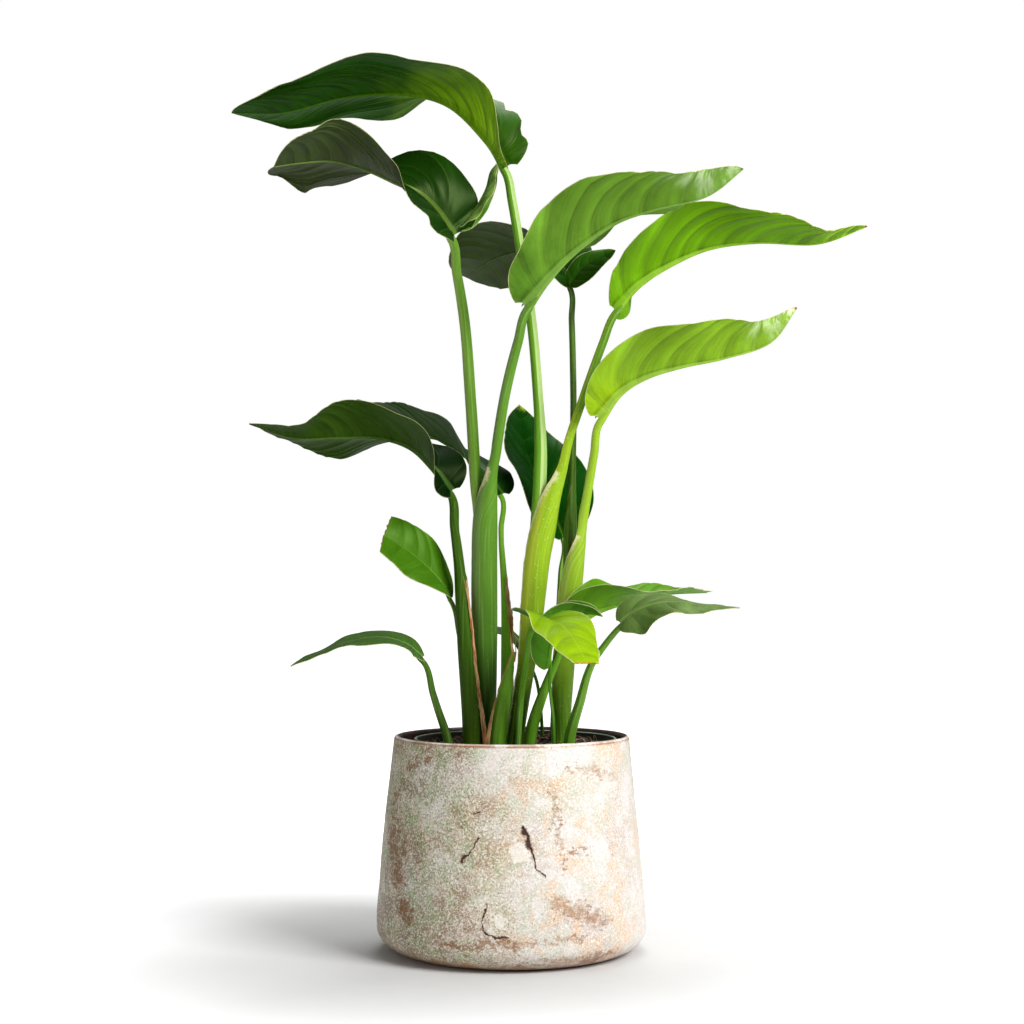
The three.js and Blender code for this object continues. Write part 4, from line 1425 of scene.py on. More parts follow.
@dataclass(frozen=True)
class Glaze(Finish):
    """Mottled off-white glaze: pale green and pinkish clouds, dense specks, rust and cracks, with painted
    shade on its left and inside, and painted light on its right.
    """

    RELIEF = 1.0
    SHADER = {"Coat Weight": 0.12, "Coat Roughness": 0.3, "Specular IOR Level": 0.35}
    FRONT = (1.0, 0.0, 1.0)
    JITTER = 150.0
    CLOUDS = 22.0
    VEIL = 48.0
    PATCHES = 17.0
    STAINS = 30.0
    FINE = 640.0
    SMALL = 260.0
    FROST = 560.0
    LINES = (90.0, 90.0, 420.0)
    HOLES = 44.0

    light: Colour = (0.84, 0.81, 0.77)
    cream: Colour = (0.64, 0.53, 0.38)
    green: Colour = (0.40, 0.48, 0.27)
    pink: Colour = (0.66, 0.50, 0.44)
    brown: Colour = (0.13, 0.065, 0.035)
    rust: Colour = (0.34, 0.15, 0.055)
    peach: Colour = (0.78, 0.56, 0.38)
    stain: Colour = (0.27, 0.19, 0.12)
    blush: tuple[Colour, Colour] = ((0.48, 0.54, 0.40), (0.88, 0.76, 0.74))
    moss: Colour = (0.15, 0.16, 0.08)
    frost: Colour = (0.96, 0.94, 0.90)
    # Multipliers for the left and right sides: a warmer tone on the left, and the right dimmed as painted
    # shade.
    cast: tuple[Colour, Colour] = ((1.02, 1.0, 0.92), (0.84, 0.825, 0.82))
    hole: Colour = (0.045, 0.018, 0.008)
    # Painted shade: the near-black brown of the pot's inside.
    inside: Colour = (0.030, 0.014, 0.007)
    cracks: tuple[Mark, ...] = (
        Mark(((9.3, 127.4), (13.4, 119.2), (16.5, 107)), 5.0),
        Mark(((16, 109), (20.5, 97), (21.5, 91)), 2.4),
        Mark(((21.5, 91), (28.9, 84.1)), 1.4),
        Mark(((-44.7, 96.3), (-39, 103)), 3.6),
        Mark(((-39, 103), (-28.4, 117.6)), 1.6),
        Mark(((-33, 137), (-27.5, 141)), 2.0),
        Mark(((-25.5, 38), (-20.2, 34.5), (-3.8, 31.8)), 2.0),
        Mark(((-21.8, 62), (-26.7, 45), (-25.5, 38)), 1.5),
    )
    flakes: tuple[Mark, ...] = (Mark(((3, 113), (9, 101)), 10.0, 0.35), Mark(((-14, 50), (-8, 44)), 8.0, 0.5))
    rusted: tuple[Mark, ...] = (
        Mark(((-95, 54), (-92, 40)), 12.0, 0.7),
        Mark(((-106, 150), (-103, 70)), 15.0),
        Mark(((-92, 176), (-76, 184)), 12.0),
        Mark(((36, 158), (45, 92)), 8.0),
        Mark(((46, 102), (74, 106)), 8.0),
        Mark(((36, 62), (84, 42)), 18.0),
        Mark(((-60, 24), (62, 30)), 8.0),
        Mark(((50, 178), (92, 168)), 10.0),
        Mark(((4, 8), (96, 12)), 12.0),
    )

    @staticmethod
    def drawn(w: Wiring, point: Value, marks: tuple[Mark, ...]) -> Value:
        """Mask of several marks.

        Args:
            w: Adds nodes to the material.
            point: Place on the pot's front, already made ragged.
            marks: The marks.

        Returns:
            The mask.
        """
        mask: Value = 0.0
        for mark in marks:
            for start, end in zip(mark.points, mark.points[1:]):
                stroke = Stroke().use(w, {
                    "place": point, "start": (start[0] * MM, 0.0, start[1] * MM),
                    "end": (end[0] * MM, 0.0, end[1] * MM), "width": mark.width * MM,
                    "softness": mark.softness})
                mask = w.math("MAXIMUM", mask, stroke["mask"])
        return mask

    def look(self, w: Wiring) -> Look:
        """Make the nodes of the glaze.

        Args:
            w: Adds nodes to the material.

        Returns:
            The glaze's colour, roughness and height.
        """
        place = w.place()
        x, y, z = w.parts(place)
        facing = w.span(y, 0.005, -0.02)
        jitter = w.node("ShaderNodeTexNoise", {
            "Vector": place, "Scale": self.JITTER, "Detail": 4.0, "Roughness": 0.7})
        shake = w.vector("SUBTRACT", jitter.outputs["Color"], (0.5, 0.5, 0.5))
        front = w.vector("MULTIPLY", w.vector("ADD", place, w.scaled(shake, 0.010)), self.FRONT)
        loose = w.vector("MULTIPLY", w.vector("ADD", place, w.scaled(shake, 0.03)), self.FRONT)
        open_marks = w.times(self.drawn(w, front, self.cracks), facing)
        flaked = w.times(self.drawn(w, loose, self.flakes), facing)
        rusted = w.times(self.drawn(w, loose, self.rusted), facing)

        clouds, veil = w.cloud(place, self.CLOUDS, 5.0, 0.65), w.cloud(place, self.VEIL, 5.0, 0.7, 0.4)
        patches = w.cloud(w.vector("ADD", place, (3.0, 1.0, 2.0)), self.PATCHES, 5.0, 0.65, 0.3)
        # Left to right across the pot. Besides real changes in the glaze's colour, it gives the left darker
        # copies of the colours as painted shade and the right lighter ones as painted light.
        side = w.span(w.plus(x, w.swing(clouds, 0.2)), -0.10, 0.07)
        base = w.mix(w.span(clouds, 0.38, 0.62), self.cream, self.light)
        base = w.mix(w.times(w.span(veil, 0.46, 0.58), w.blend(side, 0.95, 0.5)), base, self.green)
        base = w.mix(w.times(w.span(patches, 0.50, 0.64), 0.75), base, self.pink)
        # Painted shade and light: the left side darkened, the right side lightened towards the pale glaze.
        base = w.mix(w.times(side, 0.45), w.shade(base, 0.82, 1.15), self.light)
        stain = w.cloud(w.vector("ADD", place, (1.0, 6.0, 4.0)), self.STAINS, 5.0, 0.75, 0.3)
        stained = w.times(w.span(stain, 0.49, 0.60), w.blend(side, 0.75, 0.85))
        base = w.mix(stained, base, w.mix(side, self.stain, self.peach))
        blush = w.times(w.span(stain, 0.47, 0.38), w.blend(side, 0.5, 0.85))
        base = w.mix(blush, base, w.mix(side, *self.blush))
        base = w.mix(w.times(flaked, 0.75), base, self.light)

        fine, small = w.cloud(place, self.FINE, 2.0, 0.8), w.cloud(place, self.SMALL, 4.0, 0.8)
        crowd = w.blend(side, 0.06, -0.03)
        crowd = w.plus(crowd, w.swing(patches, 0.3))
        crowd = w.minus(crowd, w.times(flaked, 0.08))
        specks = w.span(w.plus(fine, crowd), 0.52, 0.64)
        flecks = w.span(w.plus(small, w.plus(crowd, w.times(rusted, 0.09))), 0.60, 0.68)
        base = w.mix(w.times(specks, w.blend(side, 0.72, 0.46)), base, w.mix(veil, self.brown, self.moss))
        frost = w.span(w.cloud(w.vector("ADD", place, (1.0, 2.0, 5.0)), self.FROST, 2.0, 0.8), 0.50, 0.60)
        base = w.mix(w.times(frost, 0.62), base, self.frost)
        base = w.mix(w.times(flecks, 0.6), base, w.mix(clouds, self.brown, self.rust))

        lines = w.cloud(w.vector("MULTIPLY", place, self.LINES), 1.0, 4.0, 0.7, 0.8)
        worn = w.plus(w.times(lines, 0.55), w.times(small, 0.45))
        worn = w.plus(worn, w.swing(rusted, 0.24))
        worn = w.plus(worn, w.swing(patches, 0.35))
        scraped = w.span(worn, 0.52, 0.66)
        pale = w.mix(side, self.rust, self.peach)
        rust = w.mix(w.span(fine, 0.3, 0.7), w.mix(side, self.brown, self.rust),
                     w.mix(w.span(veil, 0.4, 0.6), self.rust, pale))
        base = w.mix(w.times(scraped, w.blend(side, 0.8, 0.75)), base, rust)
        foot = w.span(w.plus(z, w.swing(veil, 0.03)), 0.010, 0.002)
        base = w.mix(w.times(foot, 0.7), base, self.rust)

        cells = w.node("ShaderNodeTexVoronoi", {"Vector": place, "Scale": self.HOLES}).outputs
        chosen = w.math("GREATER_THAN", w.parts(cells["Color"])[0], 0.5)
        holes = w.times(w.span(cells["Distance"], 0.018, 0.034, 1.0, 0.0), chosen)
        base = w.mix(w.times(w.span(open_marks, 0.0, 0.6), w.span(small, 0.35, 0.6, 0.3, 1.0)), base,
                     w.mix(veil, self.rust, self.brown))
        # The left warmed and the right dimmed: painted shade on the lit side, with a warmer tone on the left.
        base = w.mix(1.0, base, w.mix(side, *self.cast), "MULTIPLY")
        dark = w.math("MAXIMUM", w.span(open_marks, 0.60, 0.80), holes)
        base = w.mix(dark, base, self.hole)
        base = self.rim(w, base, place, z, veil)
        rough = w.plus(w.blend(specks, 0.36, 0.55), w.times(scraped, 0.2), clamp=True)
        height = w.times(w.plus(fine, small), 0.16)
        height = w.minus(height, w.times(dark, 1.5))
        height = w.minus(height, w.times(w.plus(scraped, flaked), 0.25))
        return base, rough, w.plus(height, w.times(w.plus(veil, patches), 0.8))

    def rim(self, w: Wiring, base: Value, place: Value, z: Value, veil: Value) -> Value:
        """Colour with the lip's brown line, and the pot's inside painted near black as shade over its brown.

        Args:
            w: Adds nodes to the material.
            base: Colour of the glaze outside.
            place: Place on the pot.
            z: Its height.
            veil: Noise that breaks the lines up.

        Returns:
            The colour.
        """
        pot = CoverPot
        radial = w.vector("LENGTH", w.vector("MULTIPLY", place, (1.0, 1.0, 0.0)))
        ring = w.span(z, (pot.height - 4.0) * MM, (pot.height - 2.2) * MM)
        base = w.mix(w.times(ring, w.span(veil, 0.42, 0.55, 0.35, 0.95)), base, self.rust)
        lip = w.span(z, (pot.height - 1.9) * MM, (pot.height - 1.2) * MM)
        base = w.mix(w.times(lip, w.span(veil, 0.4, 0.6, 0.9, 0.4)), base, self.light)
        taper = (pot.belly - pot.rim) / (pot.height - pot.belly_height)
        edge = w.minus((pot.belly - 2.6 + pot.belly_height * taper) * MM, w.times(z, taper))
        # Painted shade: inside the wall and above the floor the glaze is coloured near black.
        shaded_inside = w.times(w.math("LESS_THAN", radial, edge), w.math("GREATER_THAN", z, 0.026))
        return w.mix(shaded_inside, base, w.shade(self.inside, w.span(veil, 0.3, 0.7, 0.6, 2.2)))


@dataclass
class GrowingPot:
    """Thin plastic growing pot with a rolled lip."""

    ROWS = 14
    STEPS = 120
    SHARP = 40

    rim: float = 95.0
    base: float = 72.0
    top: float = 196.5
    wall: float = 1.6
    lip: float = 3.0
    offset: float = 3.0
    seat: float = 0.3

    def radius(self, height: float) -> float:
        """Outer radius of the straight wall at a height."""
        share = (height - CoverPot.floor) / (self.top - CoverPot.floor)
        return self.base + (self.rim - self.lip / 2 - self.base) * share

    def profile(self) -> list[Pair]:
        """Section of the pot.

        Returns:
            Radius and height from the underside's middle, over the lip, to the inner floor's.
        """
        bottom, lip_start = CoverPot.floor + self.seat, self.top - 2 * self.lip
        heights = [bottom + 3 + (lip_start - bottom - 3) * k / self.ROWS for k in range(self.ROWS + 1)]
        roll = self.lip / 2
        return [
            (0.0, bottom), (self.radius(bottom) - 4, bottom), (self.radius(bottom) - 1.2, bottom + 0.5),
            *((self.radius(h), h) for h in heights),
            (self.rim - 0.6, lip_start + 0.5), (self.rim, lip_start + 1.2), (self.rim, self.top - roll),
            *Bench.arc((self.rim - roll, self.top - roll), (roll, roll), (30, 60, 90, 120, 150)),
            (self.rim - self.lip, self.top - roll), (self.rim - self.lip, lip_start + 2),
            *((self.radius(h) - self.wall, h) for h in reversed(heights)),
            (self.radius(bottom) - self.wall - 4, bottom + self.wall), (0.0, bottom + self.wall)]

    def build(self) -> None:
        """The growing pot, standing beside the cover pot's middle."""
        obj = Bench.turned("nursery_pot_plastic", self.profile(), self.STEPS)
        for vertex in obj.data.vertices:
            vertex.co.x += self.offset * MM
        Bench.soften(obj, self.SHARP)
        Bench.place(obj, "nursery_pot", Slot.PLASTIC, Plastic().material("growing pot plastic"))


@dataclass(frozen=True)
class Plastic(Finish):
    """Dark green moulded plastic, dusty with dried peat, with a pale line along the top of its lip."""

    RELIEF = 0.12
    SHADER = {"Specular IOR Level": 0.25}
    CLOUDS = 60.0
    FINE = 700.0

    body: Colour = (0.014, 0.020, 0.012)
    worn: Colour = (0.30, 0.36, 0.28)
    dust: Colour = (0.09, 0.06, 0.035)

    def look(self, w: Wiring) -> Look:
        """Make the nodes of the plastic.

        Args:
            w: Adds nodes to the material.

        Returns:
            The plastic's colour, roughness and height.
        """
        place = w.place()
        z = w.parts(place)[2]
        clouds, fine = w.cloud(place, self.CLOUDS, 4.0, 0.65), w.cloud(place, self.FINE, 2.0)
        base = w.mix(w.times(w.span(clouds, 0.48, 0.72), 0.7), self.body, self.dust)
        # A pale line along the top of the lip.
        top = w.span(z, (GrowingPot.top - 0.9) * MM, (GrowingPot.top - 0.2) * MM)
        base = w.mix(w.times(top, w.span(clouds, 0.3, 0.6, 0.45, 0.95)), base, self.worn)
        return base, w.span(clouds, 0.3, 0.7, 0.34, 0.62), w.plus(fine, w.times(clouds, 0.5))


@dataclass
class PeatBed:
    """Peat in the growing pot: an uneven top with crumbs and tan fibres on it."""

    RINGS = 46
    STEPS = 150
    CRUMBS = 900
    FIBRES = 170
    FIBRE_SIDES = 3
    FIBRE_STEPS = 7
    SHARP = 35

    growing: GrowingPot
    top: float = 186.0
    lump: float = 1.6
    heaps: tuple[tuple[float, float, float, float], ...] = ((6.5, 44, 48, 1700), (4, -40, 55, 1200))

    def level(self, x: float, y: float) -> float:
        """Height of the peat's top.

        Args:
            x: Place across, from its middle.
            y: Place away from the camera, from its middle.

        Returns:
            The height.
        """
        lump = sin(x / 9 + 1.3) * cos(y / 11) + 0.6 * sin((x - y) / 6)
        crumbs = 1.3 * noise.noise(Vector((x, y, 0)) / 5) + 0.7 * noise.noise(Vector((x, y, 9)) / 2.2)
        heap = sum(high * exp(-((x - a) ** 2 + (y - b) ** 2) / broad) for high, a, b, broad in self.heaps)
        return self.top + self.lump * lump + crumbs + heap

    def reach(self, height: float, clear: float) -> float:
        """Radius inside the growing pot's wall at a height."""
        return self.growing.radius(height) - self.growing.wall - clear

    def body(self) -> Piece:
        """Body of the peat, with its lumpy top.

        Returns:
            The body.
        """
        bottom, clear = CoverPot.floor + 2 * self.growing.seat + self.growing.wall, 2 * self.growing.seat
        reach, low = self.reach(self.top, clear), self.reach(bottom, clear)
        profile = [(0.0, bottom), (low, bottom), ((low + reach) / 2, (bottom + self.top) / 2)]
        profile += [(reach * (1 - k / self.RINGS), self.top) for k in range(self.RINGS + 1)]
        obj = Bench.turned("soil_peat", profile, self.STEPS)
        for vertex in obj.data.vertices:
            if vertex.co.z > (self.top - 0.5) * MM:
                vertex.co.z = self.level(vertex.co.x / MM, vertex.co.y / MM) * MM
            vertex.co.x += self.growing.offset * MM
        return obj

    def crumbs(self, draw: random.Random) -> list[Piece]:
        """Small lumps of peat scattered on the top, each copied from one shaped lump.

        Args:
            draw: Where their sizes and places are drawn.

        Returns:
            The lumps.
        """
        bpy.ops.object.select_all(action="DESELECT")
        bpy.ops.mesh.primitive_ico_sphere_add(subdivisions=1, radius=1)
        first = bpy.context.object
        for vertex in first.data.vertices:
            vertex.co *= 1 + 0.35 * noise.noise(vertex.co * 2.3)
        made, reach = [], self.reach(self.top, 5)
        template = [vertex.co.copy() for vertex in first.data.vertices]
        for index in range(self.CRUMBS):
            lump = first.copy() if index else first
            made.append(lump)
            if index:
                lump.data = first.data.copy()
                bpy.context.collection.objects.link(lump)
            turn, out = draw.uniform(0, 2 * pi), reach * sqrt(draw.random())
            x, y = out * cos(turn), out * sin(turn)
            size = draw.uniform(0.5, 1.3) ** 2 + 0.35
            spin = Vector((draw.uniform(0.6, 1.4), draw.uniform(0.6, 1.4), draw.uniform(0.45, 0.9)))
            cosine, sine = cos(turn * 7), sin(turn * 7)
            middle = Vector((x + self.growing.offset, y, self.level(x, y) + 0.3 * size))
            for vertex, co in zip(lump.data.vertices, template):
                wide = Vector((co.x * spin.x, co.y * spin.y, co.z * spin.z))
                turned = Vector((wide.x * cosine - wide.y * sine, wide.x * sine + wide.y * cosine, wide.z))
                vertex.co = (middle + turned * size) * MM
        return made

    def threads(self, draw: random.Random) -> list[tuple[list[Vector], float]]:
        """Lines of the loose fibres, which curve over the peat.

        Args:
            draw: Where they are drawn.

        Returns:
            For each fibre its points and its radius.
        """
        reach, made = self.reach(self.top, 6), []
        for _ in range(self.FIBRES):
            turn, out = draw.uniform(0, 2 * pi), reach * sqrt(draw.random())
            heading, bend = draw.uniform(0, 2 * pi), draw.uniform(-1.6, 1.6)
            length, lift = draw.uniform(7, 26), draw.choice((0.8, 1.5, 3.0, 5.5))
            x, y = out * cos(turn), out * sin(turn)
            if hypot(x + length * cos(heading), y + length * sin(heading)) > reach:
                heading += pi
            points = []
            for step in range(self.FIBRE_STEPS + 1):
                share = step / self.FIBRE_STEPS
                points.append(Vector((x, y, self.level(x, y) + 0.4 + lift * sin(pi * share))))
                x += length / self.FIBRE_STEPS * cos(heading + bend * share)
                y += length / self.FIBRE_STEPS * sin(heading + bend * share)
            made.append((points, draw.uniform(0.16, 0.42)))
        return made

    def fibres(self, draw: random.Random) -> Piece:
        """Loose tan fibres: thin three-sided threads.

        Args:
            draw: Where they are drawn.

        Returns:
            All fibres as one piece, cut from one grid.
        """
        sides, steps, threads = self.FIBRE_SIDES, self.FIBRE_STEPS, self.threads(draw)
        width = sides * len(threads) + len(threads) - 1
        obj = Bench.grid("soil_fibres", steps, width)
        bpy.ops.object.mode_set(mode="EDIT")
        bpy.ops.mesh.select_mode(type="FACE")
        bpy.ops.mesh.select_all(action="DESELECT")
        bpy.ops.object.mode_set(mode="OBJECT")
        for face in obj.data.polygons:
            face.select = int((face.center.y + 1) / 2 * width) % (sides + 1) == sides
        bpy.ops.object.mode_set(mode="EDIT")
        bpy.ops.mesh.delete(type="FACE")
        bpy.ops.object.mode_set(mode="OBJECT")
        places = []
        for vertex in obj.data.vertices:
            row, column = Bench.station(vertex, steps, width)
            index, corner = divmod(column, sides + 1)
            points, thick = threads[index]
            ahead = (points[min(row + 1, steps)] - points[max(row - 1, 0)]).normalized()
            across = ahead.cross(Vector((0, 0, 1))).normalized()
            angle = 2 * pi * corner / sides
            offset = (across * cos(angle) + across.cross(ahead) * sin(angle)) * thick
            places.append(points[row] + offset + Vector((self.growing.offset, 0, 0)))
        Bench.shape(obj, places, {})
        Bench.close(obj)
        return obj

    def build(self) -> None:
        """The peat with its crumbs as one piece, and its fibres as another."""
        draw = random.Random("peat bed")
        body = self.body()
        crumbs = self.crumbs(draw)
        Bench.only(body)
        for lump in crumbs:
            lump.select_set(True)
        bpy.ops.object.join()
        Bench.soften(body, self.SHARP)
        Bench.place(body, "soil", Slot.PEAT, Peat().material("moist peat"))
        Bench.place(self.fibres(draw), "", Slot.PEAT,
                    Peat((0.42, 0.26, 0.13), (0.20, 0.11, 0.05)).material("dry fibre"))


@dataclass(frozen=True)
class Peat(Finish):
    """Dark moist peat, or with other colours the dry fibres in it."""

    RELIEF = 0.8
    SHADER = {"Specular IOR Level": 0.3}
    CLODS = 160.0
    FINE = 800.0

    light: Colour = (0.060, 0.034, 0.018)
    dark: Colour = (0.008, 0.005, 0.003)

    def look(self, w: Wiring) -> Look:
        """Make the nodes of the peat.

        Args:
            w: Adds nodes to the material.

        Returns:
            The peat's colour, roughness and height.
        """
        place = w.place()
        clods, fine = w.cloud(place, self.CLODS, 4.0, 0.7), w.cloud(place, self.FINE, 3.0, 0.7)
        mixed = w.plus(w.times(clods, 0.6), w.times(fine, 0.4))
        base = w.mix(w.span(mixed, 0.35, 0.68), self.dark, self.light)
        return base, w.span(clods, 0.3, 0.7, 0.75, 0.95), w.plus(clods, fine)


@dataclass(frozen=True)
class Lamp:
    """Soft square white light: its place, target and side in metres, and its power in watts."""

    name: str
    place: Point
    target: Point
    size: float
    power: float

    def build(self) -> None:
        """The light, turned to its target."""
        data = bpy.data.lights.new(self.name, "AREA")
        data.size, data.energy, data.color = self.size, self.power, WHITE
        lamp = bpy.data.objects.new(self.name, data)
        lamp.location = self.place
        ahead = Vector(self.target) - Vector(self.place)
        lamp.rotation_euler = ahead.to_track_quat("-Z", "Y").to_euler()
        bpy.context.collection.objects.link(lamp)


@dataclass
class Studio:
    """Plain pale floor, soft lights and the camera at the photograph's angle."""

    GRAIN = 40.0
    # Painted shadow: the floor's colours near the pot, the plain colour further out, the distances over which
    # it brightens, and those over which the painted glow comes in.
    SHADOWED_TONES = ((0.68, 0.68, 0.68), (0.71, 0.71, 0.71))
    BRIGHT = (0.90, 0.90, 0.90)
    SHADOW_FADE = (0.14, 0.42)
    GLOW_FADE = (0.22, 0.9)

    distance: float = 1.8
    height: float = 0.344
    pitch: float = 2.03
    focal_pixels: float = 1915.0
    frame_pixels: float = 1024.0
    sensor: float = 36.0
    floor_size: float = 40
    floor_level: float = -0.0005
    ambient: float = 0.17
    lamps: tuple[Lamp, ...] = (
        Lamp("key", (1.7, -1.5, 1.7), (0.0, 0.0, 0.45), 1.3, 92.0),
        Lamp("top", (0.3, 0.5, 2.2), (0.0, 0.0, 0.5), 1.2, 34.0),
        Lamp("fill", (-1.5, -1.9, 0.8), (0.0, 0.0, 0.4), 1.2, 6.0),
    )

    def camera(self) -> None:
        """Camera in front of the plant, slightly below its middle and tilted up."""
        data = bpy.data.cameras.new("camera")
        data.sensor_width = self.sensor
        data.lens = self.focal_pixels * self.sensor / self.frame_pixels
        camera = bpy.data.objects.new("camera", data)
        camera.location = (0.0, -self.distance, self.height)
        camera.rotation_euler = (radians(90 + self.pitch), 0.0, 0.0)
        bpy.context.collection.objects.link(camera)
        bpy.context.scene.camera = camera

    def floor(self) -> None:
        """Wide pale floor with a painted shadow, darker near the pot, and a painted glow further out, where
        it shines white to the camera as a lit sweep does.
        """
        bpy.ops.object.select_all(action="DESELECT")
        bpy.ops.mesh.primitive_plane_add(size=self.floor_size, location=(0, 0, self.floor_level))
        floor = bpy.context.object
        floor.name = "floor"
        bpy.ops.object.transform_apply()
        material = bpy.data.materials.new("pale floor")
        material.use_nodes = True
        w = Wiring(material.node_tree)
        shader = material.node_tree.nodes["Principled BSDF"]
        place = w.place()
        grain = w.cloud(place, self.GRAIN, 2.0)
        # Painted shadow: the floor is coloured darker near the pot.
        out_of_painted_shadow = w.span(w.vector("LENGTH", place), *self.SHADOW_FADE)
        w.feed(shader.inputs["Base Color"], w.mix(out_of_painted_shadow, w.mix(grain, *self.SHADOWED_TONES), self.BRIGHT))
        w.feed(shader.inputs["Roughness"], 0.8)
        # Painted glow: away from the pot the floor emits white, seen only by the camera.
        seen = w.node("ShaderNodeLightPath").outputs["Is Camera Ray"]
        away = w.times(w.span(w.vector("LENGTH", place), *self.GLOW_FADE), seen)
        w.feed(shader.inputs["Emission Color"], w.mix(away, (0.0, 0.0, 0.0), WHITE))
        w.feed(shader.inputs["Emission Strength"], 1.0)
        floor.data.materials.append(material)

    def world(self) -> None:
        """White surroundings, seen white and lighting the plant softly."""
        world = bpy.data.worlds.new("studio")
        world.use_nodes = True
        bpy.context.scene.world = world
        world.node_tree.nodes.clear()
        w = Wiring(world.node_tree)
        soft = w.node("ShaderNodeBackground", {"Color": WHITE, "Strength": self.ambient})
        seen = w.node("ShaderNodeBackground", {"Color": WHITE, "Strength": 1.0})
        ray = w.node("ShaderNodeLightPath").outputs["Is Camera Ray"]
        both = w.node("ShaderNodeMixShader", {0: ray, 1: soft.outputs[0], 2: seen.outputs[0]})
        w.node("ShaderNodeOutputWorld", {0: both.outputs[0]})

    def build(self) -> None:
        """Camera, floor, lights and surroundings."""
        self.camera()
        self.floor()
        self.world()
        for lamp in self.lamps:
            lamp.build()
        bpy.context.scene.view_settings.view_transform = "Standard"


@dataclass(frozen=True)
class Paper(Finish):
    """Fibrous brown paper, streaked along its length."""

    RELIEF = 0.35
    SHADER = {"Specular IOR Level": 0.2}

    russet: Colour = (0.32, 0.12, 0.035)
    tan: Colour = (0.56, 0.35, 0.15)
    dark: Colour = (0.16, 0.06, 0.025)
    straw: Colour = (0.64, 0.46, 0.24)

    def look(self, w: Wiring) -> Look:
        """Make the nodes of the paper.

        Args:
            w: Adds nodes to the material.

        Returns:
            The paper's colour, roughness and height.
        """
        across, run = w.map("fibres")
        fibres = w.streaks((across, 2.6), (run, 0.07), detail=3.0, roughness=0.7)
        bands = w.streaks((across, 0.5), (run, 0.05), layer=4.0)
        base = w.mix(w.span(bands, 0.4, 0.62), self.russet, self.tan)
        base = w.mix(w.span(fibres, 0.5, 0.68), base, self.dark)
        base = w.mix(w.span(fibres, 0.46, 0.34), base, self.straw)
        return base, w.span(fibres, 0.3, 0.7, 0.55, 0.8), fibres


@dataclass
class Husk:
    """Dry papery margin of an old sheath, torn loose from a petiole's side."""

    ROWS = 80
    COLUMNS = 10
    TORN = 0.55
    SHARP = 60

    name: str
    points: list[Point]
    widths: list[float]
    curl: float = 0.8
    thickness: float = 0.3

    def build(self) -> None:
        """The strip, curled across and torn along its edges."""
        curve = Curve([Vector(point) for point in self.points])
        obj = Bench.grid(self.name, self.ROWS, self.COLUMNS, Bench.SHEET)
        places, fibres = [], []
        for vertex in obj.data.vertices:
            share, side = (vertex.co.x + 1) / 2, -vertex.co.y
            t = curve.parameter(share)
            ahead, run = curve.tangent(t), share * curve.length
            right = (Vector((1, 0, 0)) - ahead * ahead.x).normalized()
            torn = 1 + self.TORN * noise.noise(Vector((run / 5, round(side), len(self.name))))
            half = along(self.widths, share) / 2 * (torn if abs(side) > 0.3 else 1.0)
            wave = noise.noise(Vector((run / 11, side * 0.8, len(self.name)))) * self.curl
            face = self.thickness / 2 if vertex.co.z > Bench.UPPER_FACE else -self.thickness / 2
            lift = wave + self.curl * 0.7 * side * side + face
            places.append(curve.point(t) + right * (side * half) + right.cross(ahead) * lift)
            fibres.append((side * half, run))
        Bench.shape(obj, places, {"fibres": fibres})
        Bench.soften(obj, self.SHARP)
        Bench.place(obj, "", Slot.PETIOLE, Paper().material(f"{self.name} paper"))


